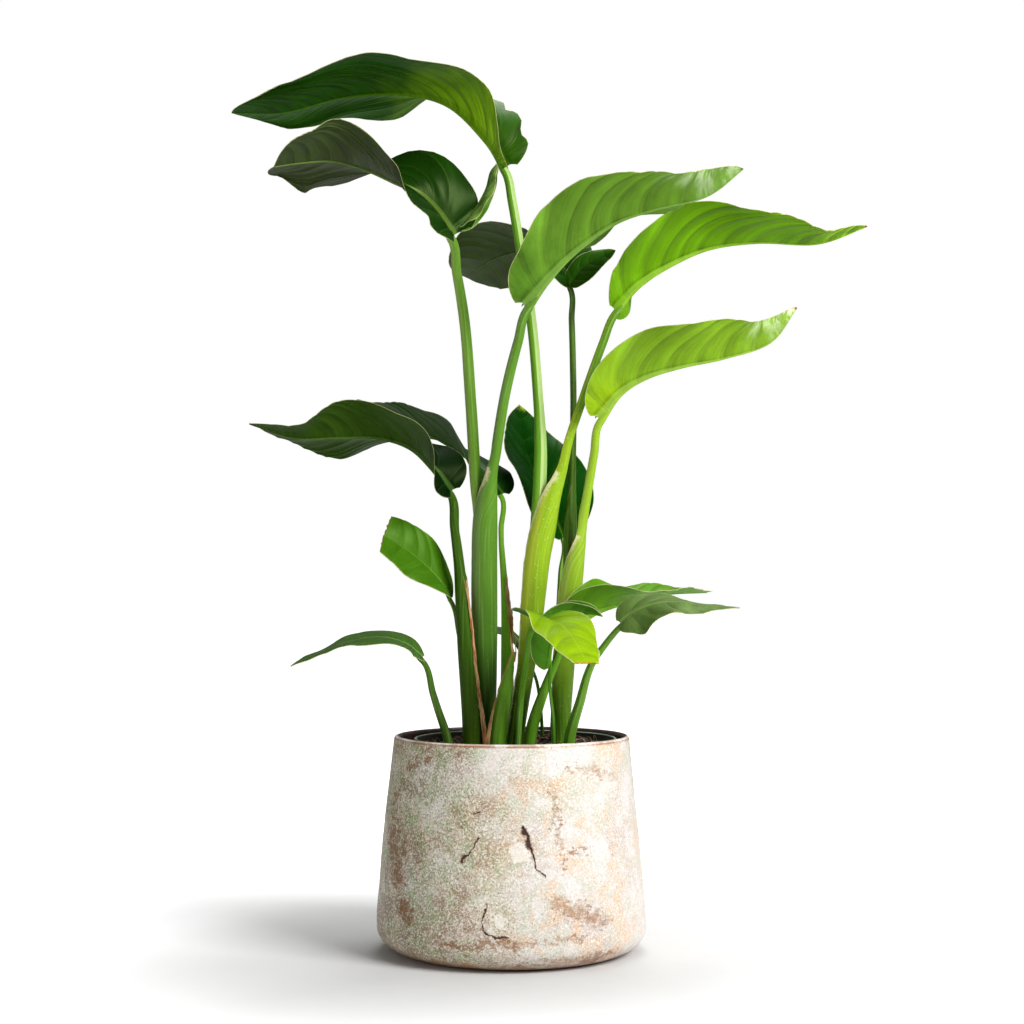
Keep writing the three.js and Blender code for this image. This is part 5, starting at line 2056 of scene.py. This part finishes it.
LEAVES = (
    Leaf("a", Facing.FAR, width=60, rib=4.2, back=5, ripple=2.5, waves=3.2, tip=0.68,
        spine=[(-6, 22, 740), (-24, 20, 766), (-60, 14, 797), (-104, 8, 806), (-160, 6, 802), (-216, 10, 789),
            (-268, 16, 790)],
        right=Half([85, 46, -5, -10, -10, -6], [-20, -20, -30, -20, -10, 0]),
        left=Half([-5, 24, 21, 24, 23, 18], [-10, -25, -30, -25, -10, 0]),
        tissue=Tissue(Slot.LEAF_GREEN, (0.003, 0.03, 0.001), (0.009, 0.056, 0.001), (0.08, 0.19, 0.006),
            base_tint=(0.29, 0.57, 0.004), base_reach=0.58, base_above=0.04, right_half_shading=1.35, threads=1.6,
            mottle=1.2, creases=0.3, groove_shade=-0.4),
        nicks=[(1, 0.07, 0.025, 0.22), (1, 0.14, 0.02, 0.2), (1, 0.19, 0.015, 0.08)],
        sweep=0.8, pleat=1.3, panel_length=15),
    Leaf("b", Facing.FAR, width=57, rib=4.4, back=5, ripple=4, waves=3.6, base=0.3, tip=0.42,
        spine=[(-55, -8, 668), (-72, -14, 692), (-89, -22, 706), (-110, -32, 714), (-136, -48, 722),
            (-163, -72, 724), (-191, -96, 717), (-211, -113, 710)],
        right=Half([60, 64, 10, -24, -8, 6], [-10, -20, -20, -15, -10, 0]),
        left=Half([-16, -24, -16, 8, 30, 30], [-10, -20, -25, -20, -10, 0]),
        tissue=Tissue(Slot.LEAF_DARK, (0.005, 0.028, 0.001), (0.026, 0.039, 0.011), (0.13, 0.22, 0.03),
            threads=0.9, upper_roughness=0.34, creases=0.6, mottle=0.6, margin=(0.38, 0.38, 0.18)),
        sweep=0.8, pleat=1.6, frill=0.7, panel_length=17),
    Leaf("b_curl", Facing.FAR, width=12, rib=0.9, back=0, ripple=2.2, waves=2.6, base=0.3, tip=0.35,
        spine=[(-51, -5, 676), (-42, 0, 686), (-33, 3, 699), (-25, 4, 715), (-21, 3, 730), (-15, 2, 738)],
        right=Half([70, 62, 55, 70], [30, 40, 50, 60]),
        left=Half([30, 40, 44, 60], [30, 40, 50, 60]),
        tissue=Tissue(Slot.LEAF_DARK, (0.06, 0.17, 0.01), (0.12, 0.22, 0.04), (0.12, 0.28, 0.02)),
        pleat=0.4, columns=10, panel_length=9, strip=True),
    Leaf("c", Facing.NEAR, width=57, rib=4.2, back=5, ripple=4, waves=3.4, tip=0.65,
        spine=[(13, -32, 599), (33, -38, 622), (57, -46, 645), (93, -58, 669), (128, -68, 680),
            (176, -82, 690), (208, -92, 713)],
        right=Half([52, 50, 48, 32, 36, 44], [-10, -15, -20, -15, -10, 0]),
        left=Half([12, 4, 4, 6, 10, 16], [-20, -20, -20, -15, -10, 0]),
        tissue=Tissue(Slot.LEAF_PALE, (0.05, 0.18, 0.008), (0.118, 0.255, 0.02), (0.24, 0.42, 0.08),
            base_tint=(0.062, 0.155, 0.011), base_reach=0.34, base_above=0.0, tip_tint_and_highlight=(0.36, 0.47, 0.24),
            tip_reach=0.34, mottle=0.55, threads=0.7, veins=0.12, groove_shade=-0.5, creases=0.62),
        nicks=[(1, 0.47, 0.11, -0.2), (1, 0.64, 0.05, 0.06)],
        pleat=1.8, frill=0.8, panel_length=26),
    Leaf("d", Facing.NEAR, width=55, rib=3.8, back=3, ripple=3, waves=3.1,
        spine=[(98, 22, 602), (118, 27, 624), (147, 34, 644), (190, 44, 664), (240, 54, 672), (300, 66, 673),
            (350, 76, 692)],
        right=Half([30, 50, 43, 24, 17, 14], [-10, -20, -20, -15, -10, 0]),
        left=Half([-30, 10, 14, 15, 16, 18], [-10, -15, -15, -10, -10, 0]),
        tissue=Tissue(Slot.LEAF_PALE, (0.07, 0.2, 0.003), (0.098, 0.24, 0.002), (0.28, 0.46, 0.04),
            base_tint=(0.15, 0.36, 0.004), base_reach=0.3, tip_tint_and_highlight=(0.34, 0.52, 0.01), tip_reach=0.25,
            veins=0.16, groove_shade=-0.48, browned_reach=0.012, mottle=0.6, threads=0.7, creases=0.65),
        nicks=[(-1, 0.14, 0.03, 0.1), (1, 0.09, 0.02, 0.08)],
        pleat=1.6, panel_length=24),
    Leaf("e", Facing.FAR, width=47, rib=3.6, back=3, ripple=3, waves=2.8,
        spine=[(-57, -12, 427), (-74, -18, 449), (-95, -24, 467), (-125, -34, 475), (-160, -46, 474),
            (-198, -58, 473), (-238, -70, 485)],
        right=Half([72, 22, -14, -20, -10, 4], [-10, -15, -20, -15, -10, 0]),
        left=Half([-30, 8, 32, 46, 30, 12], [-10, -15, -20, -20, -10, 0]),
        tissue=Tissue(Slot.LEAF_DARK, (0.001, 0.009, 0.001), (0.02, 0.05, 0.003), (0.06, 0.13, 0.02),
            threads=0.8, upper_roughness=0.4, shine=0.06, margin=(0.24, 0.27, 0.1), margin_width=0.4),
        pleat=1.2),
    Leaf("f", Facing.FAR, width=27, rib=2.2, back=0, ripple=1, waves=2.1, base=0.62, tip=0.6, cut=0.78,
        spine=[(-57, 4, 327), (-68, 0, 343), (-82, -6, 358), (-99, -14, 372), (-121, -24, 386)],
        right=Half([25, 52, 60, 56], [0, -10, -14, -10]),
        left=Half([-12, -35, -45, -40], [-10, -10, -10, -5]),
        tissue=Tissue(Slot.LEAF_GREEN, (0.042, 0.135, 0.003), (0.05, 0.14, 0.006), (0.1, 0.24, 0.02),
            browned_reach=0.03),
        pleat=0.8, columns=16),
    Leaf("g", Facing.FAR, width=27, rib=2.6, back=2, ripple=1.2, waves=2.4,
        spine=[(-83, -20, 272), (-99, -28, 285), (-122, -42, 291), (-149, -58, 287), (-173, -74, 278),
            (-197, -90, 267)],
        right=Half([18, 10, 8, 8], [-10, -10, -10, -5]),
        left=Half([-8, -12, -12, -12], [-10, -15, -10, -5]),
        tissue=Tissue(Slot.LEAF_GREEN, (0.045, 0.115, 0.012), (0.06, 0.135, 0.022), (0.13, 0.26, 0.05),
            threads=0.8),
        pleat=0.6),
    Leaf("h", Facing.NEAR, width=48, rib=3.8, back=4, ripple=2, waves=3.3,
        spine=[(82, 0, 497), (102, -6, 520), (127, -12, 534), (160, -18, 543), (198, -24, 550),
            (240, -30, 564), (264, -34, 596)],
        right=Half([45, 52, 50, 54, 60, 64], [-10, -20, -20, -15, -10, 0]),
        left=Half([10, 14, 15, 16, 20, 25], [-10, -15, -15, -10, -10, 0]),
        tissue=Tissue(Slot.LEAF_PALE, (0.08, 0.2, 0.006), (0.175, 0.33, 0.014), (0.32, 0.5, 0.08),
            base_tint=(0.25, 0.41, 0.006), base_reach=0.36, tip_tint_and_highlight=(0.6, 0.7, 0.42), tip_reach=0.32,
            veins=0.22, groove_shade=-0.46, creases=0.56, mottle=0.6, threads=0.7, browned=(0.22, 0.05, 0.015),
            browned_reach=0.015),
        nicks=[(1, 0.86, 0.08, -0.14)],
        pleat=1.6, panel_length=24),
    Leaf("i", Facing.FAR, width=48, rib=2.8, back=2, ripple=2.5, waves=2.6, tip=0.55,
        spine=[(57, 50, 629), (46, 56, 652), (30, 68, 666), (7, 88, 669), (-17, 116, 667), (-36, 148, 661),
            (-47, 176, 657)],
        right=Half([84, 66, -10, -46, -56, -50], [-10, -10, -15, -15, -10, 0]),
        left=Half([-38, -8, 28, 38, 36, 30], [-10, -15, -20, -15, -10, 0]),
        tissue=Tissue(Slot.LEAF_DARK, (0.008, 0.045, 0.002), (0.028, 0.05, 0.009), (0.08, 0.16, 0.03),
            threads=0.7, creases=0.6),
        pleat=1.4),
    Leaf("i_lobe", Facing.NEAR, width=14, rib=0.5, back=0, ripple=0.8, waves=1.5, base=0.4, tip=0.75,
        spine=[(56, 44, 628), (66, 43, 642), (80, 42, 653), (100, 40, 662)],
        right=Half([-60, -66, -70, -70], [-10, -20, -20, 0]),
        left=Half([64, 60, 60, 64], [-10, -20, -20, 0]),
        tissue=Tissue(Slot.LEAF_DARK, (0.02, 0.085, 0.003), (0.028, 0.07, 0.01), (0.14, 0.28, 0.03),
            midrib_shown=0.0, right_half_shading=0.6),
        pleat=0.6, columns=14, panel_length=12, strip=True),
    Leaf("j", Facing.SIDEWAYS, width=49, rib=2.6, back=3, ripple=2, waves=2.2, tip=0.95,
        spine=[(50, 62, 385), (41, 68, 407), (30, 78, 430), (18, 94, 458), (10, 112, 488), (7, 134, 521)],
        right=Half([20, 8, 4, 4], [-10, -15, -15, -5]),
        left=Half([54, 57, 52, 40], [-10, -15, -15, -5]),
        tissue=Tissue(Slot.LEAF_DARK, (0.002, 0.036, 0.001), (0.02, 0.06, 0.006), (0.1, 0.22, 0.02),
            shine=0.07, right_half_shading=1.5, tip_tint_and_highlight=(0.2, 0.28, 0.01), tip_reach=0.035),
        pleat=1.0),
    Leaf("k", Facing.FAR, width=41, rib=2.5, back=3, ripple=2, waves=2.4,
        spine=[(-10, 42, 427), (-21, 48, 442), (-34, 56, 455), (-50, 64, 467), (-72, 76, 481), (-97, 90, 494),
            (-122, 105, 507), (-156, 122, 525)],
        right=Half([44, 24, 8, 0, 0, 0], [-10, -15, -15, -5]),
        left=Half([-28, -4, 28, 26, 14, 6], [-10, -15, -15, -5]),
        tissue=Tissue(Slot.LEAF_DARK, (0.005, 0.04, 0.002), (0.015, 0.05, 0.005), (0.06, 0.16, 0.02),
            margin=(0.24, 0.27, 0.1), margin_width=0.4),
        pleat=1.0),
    Leaf("l", Facing.NEAR, width=33, rib=3, back=3, ripple=1.8, waves=2.6, cut=0.9, start=0.02,
        spine=[(57, -15, 296), (72, -12, 310), (92, -4, 318), (116, 9, 324), (146, 23, 330), (190, 40, 332)],
        right=Half([88, 56, 10, 8, 8, 4], [-10, -15, -15, -5]),
        left=Half([86, 78, 44, 24, 18, 12], [-5, -10, -15, -5]),
        tissue=Tissue(Slot.LEAF_GREEN, (0.085, 0.235, 0.004), (0.09, 0.24, 0.008), (0.18, 0.36, 0.03),
            browned_reach=0.03),
        pleat=1.0, columns=18),
    Leaf("m", Facing.NEAR, width=30, rib=2.8, back=3, ripple=1.6, waves=2.3,
        spine=[(100, -38, 304), (112, -46, 315), (129, -57, 322), (150, -69, 324), (174, -82, 320),
            (202, -98, 319)],
        right=Half([-34, -52, -36, -24, -18, -14], [-10, -15, -15, -5]),
        left=Half([50, 16, 4, 2, 2, 2], [-10, -15, -15, -5]),
        tissue=Tissue(Slot.LEAF_GREEN, (0.13, 0.22, 0.05), (0.14, 0.24, 0.05), (0.24, 0.38, 0.1),
            threads=0.9),
        pleat=0.8),
    Leaf("n", Facing.NEAR, width=32, rib=2.3, back=20, ripple=1.2, waves=1.9, base=0.35, cut=0.85, start=0.05,
        spine=[(23, -60, 303), (34, -71, 307), (45, -83, 302), (55, -97, 290), (66, -113, 269)],
        right=Half([75, -25, -50, -46], [-5, -10, -10, 0]),
        left=Half([-10, 36, 40, 42], [-5, -10, -10, 0]),
        tissue=Tissue(Slot.LEAF_PALE, (0.22, 0.37, 0.003), (0.2, 0.36, 0.004), (0.3, 0.48, 0.02),
            base_tint=(0.035, 0.16, 0.005), base_reach=0.5, base_above=0.8, margin_width=1.0,
            browned=(0.4, 0.16, 0.03), browned_reach=0.04),
        pleat=0.9, columns=16),
    Leaf("o", Facing.NEAR, width=22, rib=1.6, back=2, ripple=0.8, waves=2,
        spine=[(34, -25, 262), (36, -25, 279), (42, -25, 295), (54, -25, 307), (70, -26, 312),
            (84, -27, 310)],
        right=Half([60, 76, 64, 40], [-5, -10, -10, 0]),
        left=Half([60, 72, 76, 76], [-5, -10, -10, 0]),
        tissue=Tissue(Slot.LEAF_GREEN, (0.035, 0.15, 0.005), (0.05, 0.17, 0.008), (0.14, 0.32, 0.03)),
        pleat=0.5, columns=12),
    Leaf("p", Facing.FAR, width=16, rib=1.5, back=1, ripple=0.6, waves=2,
        spine=[(10, 62, 274), (0, 72, 285), (-12, 86, 291), (-27, 100, 290), (-43, 112, 284)],
        right=Half([30, 20, 16, 12], [-5, -10, -10, 0]),
        left=Half([20, 14, 10, 8], [-5, -10, -10, 0]),
        tissue=Tissue(Slot.LEAF_GREEN, (0.035, 0.15, 0.005), (0.05, 0.17, 0.008), (0.14, 0.32, 0.03)),
        pleat=0.5, columns=12),
)

STALKS = (
    Stalk("a",
        points=[(-1, 12, ROOT_Z, 3.6), (5, 11.5, 215, 3.8), (13, 11, 260, 4.2), (19, 10.5, 325, 5),
            (21.5, 10.5, 363, 5.6), (23, 11, 392, 6), (25.5, 12, 420, 6.5), (26.8, 14, 450, 6.4),
            (27, 15.5, 476, 5.9), (25, 18, 515, 4.9), (19, 19, 587, 4.8), (8, 20, 659, 4.6),
            (-1, 21, 712, 4.4)],
        skin=Skin(Slot.PETIOLE, (0.13, 0.32, 0.02), (0.22, 0.42, 0.02), stripes=0.2,
            lit_flank=(0.4, 0.53, 0.2), flank_side=0.9)),
    Stalk("d",
        points=[(-2, 12, ROOT_Z, 8), (6, 11.5, 215, 8), (13, 11, 260, 8.4), (17.5, 10.5, 295, 10),
            (20, 10.5, 325, 11.4), (24, 10.5, 363, 12), (29.5, 10, 392, 12), (36, 9.5, 420, 10),
            (46.5, 9.5, 447, 5.6), (54, 10.5, 477, 4.3), (64.5, 12.5, 508, 4.1), (86, 18, 568, 4)],
        skin=Skin(Slot.SHEATH, (0.25, 0.41, 0.012), (0.022, 0.09, 0.002), 0.52, (0.5, 0.62, 0.12), 0.25,
            (0.84, 0.8, 0.46), 4.2, edge=(0.5, 0.3, 0.14), specks=0.5, lit_flank=(0.52, 0.6, 0.05),
            flank_side=-1.0, dry_share=0.12, neck=(0.1, 0.25, 0.018), neck_from=0.7),
        sheath=Sheath(167, 377, 447, closed=18, open=46, heal=30, paper=1.9)),
    Stalk("b",
        points=[(-26, 16, ROOT_Z, 3.8), (-26, 13.5, 260, 4.2), (-28, 8, 363, 5), (-31.5, 5, 410, 5.4),
            (-34.5, 4, 440, 5.5), (-39, 1, 513, 5.3), (-45, -3, 589, 5)],
        skin=Skin(Slot.PETIOLE, (0.1, 0.225, 0.02), (0.06, 0.18, 0.01), stripe=(0.3, 0.46, 0.13),
            lit_flank=(0.3, 0.46, 0.1), flank_side=-0.9)),
    Stalk("c",
        points=[(-26, 17, ROOT_Z, 9), (-26, 15, 220, 11), (-26, 12, 290, 12.2), (-26, 6, 363, 12.2),
            (-25.2, 2, 400, 11.6), (-23, -1, 421, 9.4), (-19.5, -4, 444, 6), (-15.5, -7, 462, 5.1),
            (-13.5, -9, 475, 5), (-6.5, -15, 517, 4.8), (4, -23, 560, 4.6)],
        skin=Skin(Slot.PETIOLE, (0.088, 0.215, 0.018), (0.017, 0.066, 0.004), 0.62, (0.28, 0.42, 0.14), 0.25,
            (0.8, 0.7, 0.44), 3.0, scuffs=0.3, lit_flank=(0.2, 0.33, 0.09), flank_side=-0.8, dry_share=0.2),
        sheath=Sheath(152, 397, 451, open=60, paper=2.2)),
    Stalk("e",
        points=[(-35, -5, ROOT_Z, 10), (-38, -4.5, 225, 9.4), (-43, -4, 280, 8), (-47, -3, 330, 6.4),
            (-50, -4, 362, 5), (-55.5, -8, 408, 4.4)],
        skin=Skin(Slot.PETIOLE, (0.026, 0.078, 0.002), (0.038, 0.092, 0.003), 0.6, (0.18, 0.28, 0.08), 0.25,
            (0.46, 0.28, 0.13), 4.2, scuffs=0.25),
        sheath=Sheath(40, 200, 345, closed=46, open=52, heal=24, wall=1.3, flare=1.2)),
    Stalk("f",
        points=[(-40, 24, ROOT_Z, 2.9), (-43, 22, 249, 2.7), (-49.5, 16, 290, 2.5), (-54, 9, 310, 2.3)],
        skin=Skin(Slot.PETIOLE, (0.06, 0.17, 0.01), (0.04, 0.12, 0.008))),
    Stalk("g",
        points=[(-55, -8.5, ROOT_Z, 4.4), (-60, -9.5, 196, 4.2), (-69, -12.5, 224, 3.6), (-77, -16, 250, 3)],
        skin=Skin(Slot.PETIOLE, (0.06, 0.15, 0.012), (0.05, 0.13, 0.008))),
    Stalk("i",
        points=[(45, 13, ROOT_Z, 3.4), (49, 13, 268, 4), (53, 13, 334, 4.8), (54.5, 17, 370, 6),
            (55.5, 20, 398, 6.2), (57, 24, 430, 4.2), (58, 27, 460, 3.3), (59, 34, 517, 3.1),
            (58, 43, 585, 3)],
        skin=Skin(Slot.PETIOLE, (0.055, 0.13, 0.01), (0.05, 0.12, 0.008), stripe=(0.36, 0.46, 0.22),
            stripes=0.5)),
    Stalk("h",
        points=[(45, 12, ROOT_Z, 7), (47, 12, 230, 9.6), (51, 11, 290, 10.4), (55.5, 9, 334, 10.6),
            (61, 6, 370, 8), (65.5, 4, 396, 5.4), (70, 2.5, 420, 4.5), (74, 1.5, 444, 4.2), (78, 1, 466, 4)],
        skin=Skin(Slot.SHEATH, (0.25, 0.41, 0.018), (0.045, 0.15, 0.003), 0.6, (0.44, 0.58, 0.14), 0.25,
            (0.78, 0.7, 0.42), 3.0, specks=0.2, lit_flank=(0.42, 0.54, 0.1), flank_side=-0.8, dry_share=0.15),
        sheath=Sheath(165, 355, 388, closed=15, open=75, heal=24, wall=1.1, paper=1.6)),
    Stalk("j",
        points=[(38, 38, ROOT_Z, 3.4), (42, 44, 248, 3.2), (46, 53, 325, 2.9)],
        skin=Skin(Slot.PETIOLE, (0.1, 0.22, 0.01), (0.04, 0.1, 0.006))),
    Stalk("k",
        points=[(-7, 34, ROOT_Z, 6), (-5, 34, 240, 6), (-5, 34, 290, 5.4), (-7, 35, 335, 3.6),
            (-10, 37, 380, 2.8)],
        skin=Skin(Slot.PETIOLE, (0.2, 0.5, 0.03), (0.11, 0.33, 0.014), 0.5, (0.32, 0.5, 0.12), 0.25,
            (0.48, 0.28, 0.13), 3.2),
        sheath=Sheath(20, 240, 344, closed=22, open=38, heal=24, wall=1.2, flare=0.9)),
    Stalk("l",
        points=[(14, -6, ROOT_Z, 6.4), (19, -9, 205, 6.2), (30, -11, 240, 4.8), (43, -13, 272, 3.8)],
        skin=Skin(Slot.PETIOLE, (0.1, 0.26, 0.012), (0.07, 0.2, 0.008))),
    Stalk("m",
        points=[(50, -15, ROOT_Z, 5.6), (54, -18, 200, 5.2), (62.5, -23, 230, 4.4), (74.5, -30, 268, 3.4)],
        skin=Skin(Slot.PETIOLE, (0.12, 0.27, 0.025), (0.08, 0.22, 0.01))),
    Stalk("n",
        points=[(4, -19, ROOT_Z, 3), (8, -26, 230, 2.8), (12, -39, 262, 2.6), (16, -51, 287, 2.4)],
        skin=Skin(Slot.PETIOLE, (0.09, 0.26, 0.012), (0.05, 0.17, 0.008))),
    Stalk("o",
        points=[(39, -21, ROOT_Z, 1.9), (38, -23, 215, 1.8), (34.5, -25, 245, 1.6)],
        skin=Skin(Slot.PETIOLE, (0.05, 0.17, 0.008), (0.04, 0.12, 0.006))),
    Stalk("p",
        points=[(31, 52, ROOT_Z, 1.8), (27, 54, 228, 1.7), (20, 57, 258, 1.6)],
        skin=Skin(Slot.PETIOLE, (0.05, 0.17, 0.008), (0.04, 0.12, 0.006))),
    Stalk("sheath_stump",
        points=[(-14, -9, ROOT_Z, 8.6), (-13, -10, 200, 8.4), (-8, -12, 232, 6.6), (-3, -14, 258, 4.2),
            (2, -16, 277, 1.6)],
        skin=Skin(Slot.PETIOLE, (0.12, 0.3, 0.016), (0.06, 0.19, 0.007), 0.5, (0.26, 0.42, 0.1), 0.3,
            (0.42, 0.24, 0.11), 2.6, scuffs=0.25),
        sheath=Sheath(170, 225, 290, closed=24, open=34, heal=24, wall=1.0, flare=1.2),
        node="sheath_stump"),
)

HUSKS = (
    Husk("outer_husk", [(-46, -8, 348), (-40, -9, 320), (-36.5, -10, 290), (-32, -11, 247), (-27, -13, 213),
            (-24, -15, 180)], [0.6, 2.2, 2.8, 3.0, 4.0, 5.0], 0.8),
    Husk("inner_husk", [(-15, -20, 236), (-18, -20.5, 222), (-21, -20.5, 205), (-24, -20, 182)], [0.6, 2.4,
            3.6, 4.6], 0.8),
    Husk("rear_husk", [(-6.2, 29.5, 350), (-4.5, 29, 330), (-1.6, 28.5, 310), (1.0, 28, 284)], [0.6, 3.2, 4.6,
            2.0], 0.7),
    Husk("stump_shred", [(0.5, -17, 266), (1.0, -17.5, 276), (-0.5, -18, 285), (-1.6, -18, 295)], [2.2, 2.0,
            1.4, 0.4], 0.5),
    Husk("stump_thread", [(2.5, -16.5, 268), (3.6, -16.5, 277), (3.0, -17, 285), (4.4, -17, 291)], [1.4, 1.1,
            0.8, 0.3], 0.4),
)


@dataclass
class Crown:
    """All leaves and petioles of the plant, and the dry husks beside them."""

    leaves: tuple[Leaf, ...] = LEAVES
    stalks: tuple[Stalk, ...] = STALKS
    husks: tuple[Husk, ...] = HUSKS

    def build(self) -> None:
        """Every blade, every petiole up to its blade, and the husks."""
        for leaf in self.leaves:
            leaf.build()
        by_name = {leaf.name: leaf for leaf in self.leaves}
        for stalk in self.stalks:
            stalk.build(by_name)
        for husk in self.husks:
            husk.build()


def main() -> None:
    """Build the pots, the peat, the plant and the studio."""
    logging.basicConfig(level=logging.INFO, format="%(message)s")
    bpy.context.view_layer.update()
    CoverPot().build()
    growing = GrowingPot()
    growing.build()
    PeatBed(growing).build()
    Crown().build()
    Studio().build()


if __name__ == "__main__":
    main()
